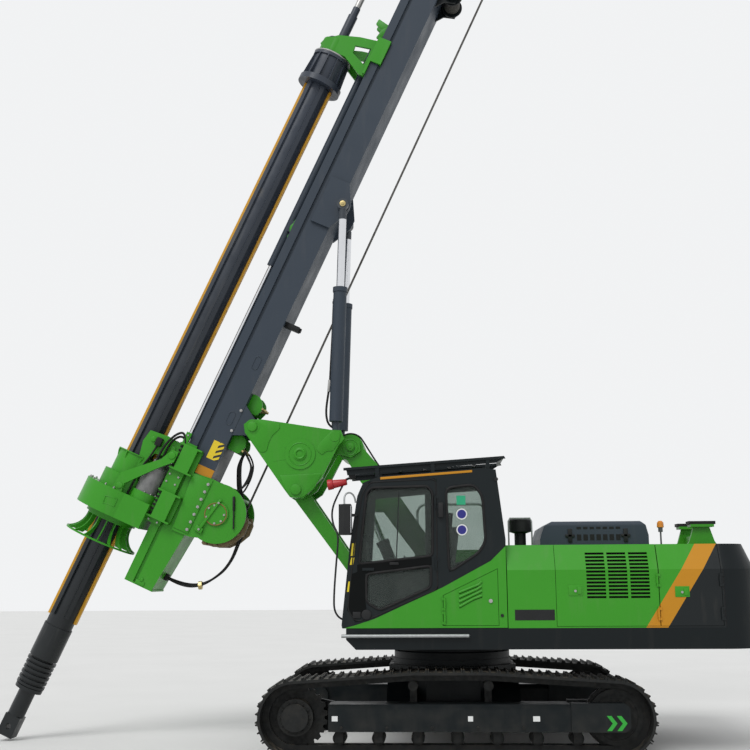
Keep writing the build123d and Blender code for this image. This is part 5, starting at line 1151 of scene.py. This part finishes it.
class RIG_OT_linkage_trim(bpy.types.Operator):
    """Put raised rings, ribs, pin caps and a blank plate on the linkage"""
    bl_idname = "rig.linkage_trim"
    bl_label = "Linkage trim"

    def execute(self, context):
        mast_pin, link_pin, boom_pin = (2.435, 3.818), (1.885, 3.029), (1.228, 3.569)
        nose = [(2.47, 3.893), (2.335, 3.902), (2.10, 3.865), (2.09, 3.79), (2.19, 3.70), (2.235, 3.60),
                (2.255, 3.50), (2.345, 3.495), (2.51, 3.735), (2.53, 3.85)]
        saddle = [(1.335, 3.735), (1.45, 3.752), (1.51, 3.69), (1.59, 3.61), (1.635, 3.515), (1.56, 3.45),
                  (1.515, 3.50), (1.43, 3.50), (1.345, 3.62)]
        foot = [(2.095, 3.205), (1.562, 3.228), (1.655, 3.045), (1.795, 2.935), (1.955, 2.948), (2.02, 3.045)]
        bosses = []
        eyes = []
        caps = []
        for hand in HANDS:
            out = outward(hand)
            centre = side(1.837, 3.468, hand * (TRIANGLE_SIDE + 0.012))
            bosses += [ring(centre, out, 0.139, 0.006), cap(centre, out, 0.012, 0.083, 40, 0.004, sunk=-0.01),
                       ring(centre + out * 0.010, out, 0.056, 0.016)]
            for pin, radius in ((mast_pin, 0.06), (link_pin, 0.065)):
                bosses.append(cap(side(*pin, hand * (TRIANGLE_SIDE + 0.0205)), out, 0.016, radius, edge=0.004))
            low, high = layer(hand, TRIANGLE_SIDE, TRIANGLE_SIDE + 0.009)
            bosses.append(bored(plate(round_outline(nose, 0.04), low, high, 0.003), *mast_pin, hand, 0.088))
            bosses.append(plate(round_outline(saddle, 0.03), low, high, 0.003))
            bosses.append(bored(plate(round_outline(foot, 0.03), low, high, 0.004), *link_pin, hand, 0.096))
            bosses.append(ring(side(*boom_pin, hand * 0.3355), out, 0.098, 0.007))

            spot = on_mast(0.181, 3.111, hand * 0.475)
            eyes += [cap(spot, out, 0.012, 0.040, 28, 0.003), cap(spot, out, 0.024, 0.017, 6, sunk=0.011)]
            spot = side(*boom_pin, hand * 0.355)
            caps += [cap(spot, out, 0.014, 0.048, 24, 0.004), cap(spot, out, 0.022, 0.018, 6, sunk=0.012)]
        fit(bosses, "triangle_bosses", "triangle", "green")
        fit(eyes, "rod_eye_caps", "mast_rods", "brass")
        fit(caps, "boom_caps", "boom", "green")
        fit(plate_pair(TRIANGLE_SIDE + 0.0005, TRIANGLE_SIDE + 0.002,
                       [(2.19, 3.52), (2.02, 3.56), (2.02, 3.40), (2.17, 3.38)]), "triangle_note", "triangle", "green")
        return {"FINISHED"}


class RIG_OT_stage(bpy.types.Operator):
    """Lay the floor and set the soft studio light"""
    bl_idname = "rig.stage"
    bl_label = "Stage"

    def execute(self, context):
        studio = context.scene.rig_studio
        clear_selection()
        bpy.ops.mesh.primitive_plane_add(size=120, location=(0, 0, 0))
        floor = context.object
        floor.name = "floor"
        floor.data.materials.append(plain("pale floor", (0.6, 5), (0.60, 0.60, 0.59), (0.66, 0.66, 0.65),
                                          roughness=0.9))

        world = bpy.data.worlds.new("soft sky")
        context.scene.world = world
        world.use_nodes = True
        tree = world.node_tree
        sky = tree.nodes["Background"]
        path = tree.nodes.new("ShaderNodeLightPath")
        seen = tree.nodes.new("ShaderNodeMath")
        seen.operation = "MAXIMUM"
        tree.links.new(path.outputs["Is Camera Ray"], seen.inputs[0])
        tree.links.new(path.outputs["Is Transmission Ray"], seen.inputs[1])
        level = tree.nodes.new("ShaderNodeMapRange")
        level.inputs["To Min"].default_value = studio.sky_strength
        level.inputs["To Max"].default_value = studio.pale_tone
        tree.links.new(seen.outputs[0], level.inputs["Value"])
        tree.links.new(level.outputs[0], sky.inputs["Strength"])
        sky.inputs["Color"].default_value = (0.98, 0.99, 1.0, 1)

        bpy.ops.object.light_add(type="SUN", location=(6, 10, 18))
        key = context.object
        key.data.energy = studio.sun_strength
        key.data.angle = math.radians(30)
        key.rotation_euler = Vector((0.35, 0.75, 1.0)).to_track_quat("Z", "Y").to_euler()
        context.scene.view_settings.view_transform = "Standard"
        return {"FINISHED"}


class RIG_PT_panel(bpy.types.Panel):
    """Lists the rig's sizes and steps in the sidebar"""
    bl_label = "Drilling rig"
    bl_idname = "RIG_PT_panel"
    bl_space_type = "VIEW_3D"
    bl_region_type = "UI"
    bl_category = "Rig"

    def draw(self, context):
        column = self.layout.column()
        for holder, group in ((context.scene.rig_studio, RigStudio), (context.scene.rig_trim, RigTrim)):
            for name in group.__annotations__:
                column.prop(holder, name)
        for step in STEPS:
            column.operator(step.bl_idname)


STEPS = (RIG_OT_camera, RIG_OT_hoses, RIG_OT_finishes, RIG_OT_ropes, RIG_OT_mast_trim, RIG_OT_winch_trim,
         RIG_OT_cab_trim, RIG_OT_deck_trim, RIG_OT_track_trim, RIG_OT_drive_trim, RIG_OT_linkage_trim,
         RIG_OT_stage)
CLASSES = (RigStudio, RigTrim) + STEPS + (RIG_PT_panel,)


def register():
    for item in CLASSES:
        bpy.utils.register_class(item)
    bpy.types.Scene.rig_studio = bpy.props.PointerProperty(type=RigStudio)
    bpy.types.Scene.rig_trim = bpy.props.PointerProperty(type=RigTrim)


def unregister():
    del bpy.types.Scene.rig_trim
    del bpy.types.Scene.rig_studio
    for item in reversed(CLASSES):
        bpy.utils.unregister_class(item)


def main():
    register()
    for step in STEPS:
        area, name = step.bl_idname.split(".")
        getattr(getattr(bpy.ops, area), name)()


if __name__ == "__main__":
    main()
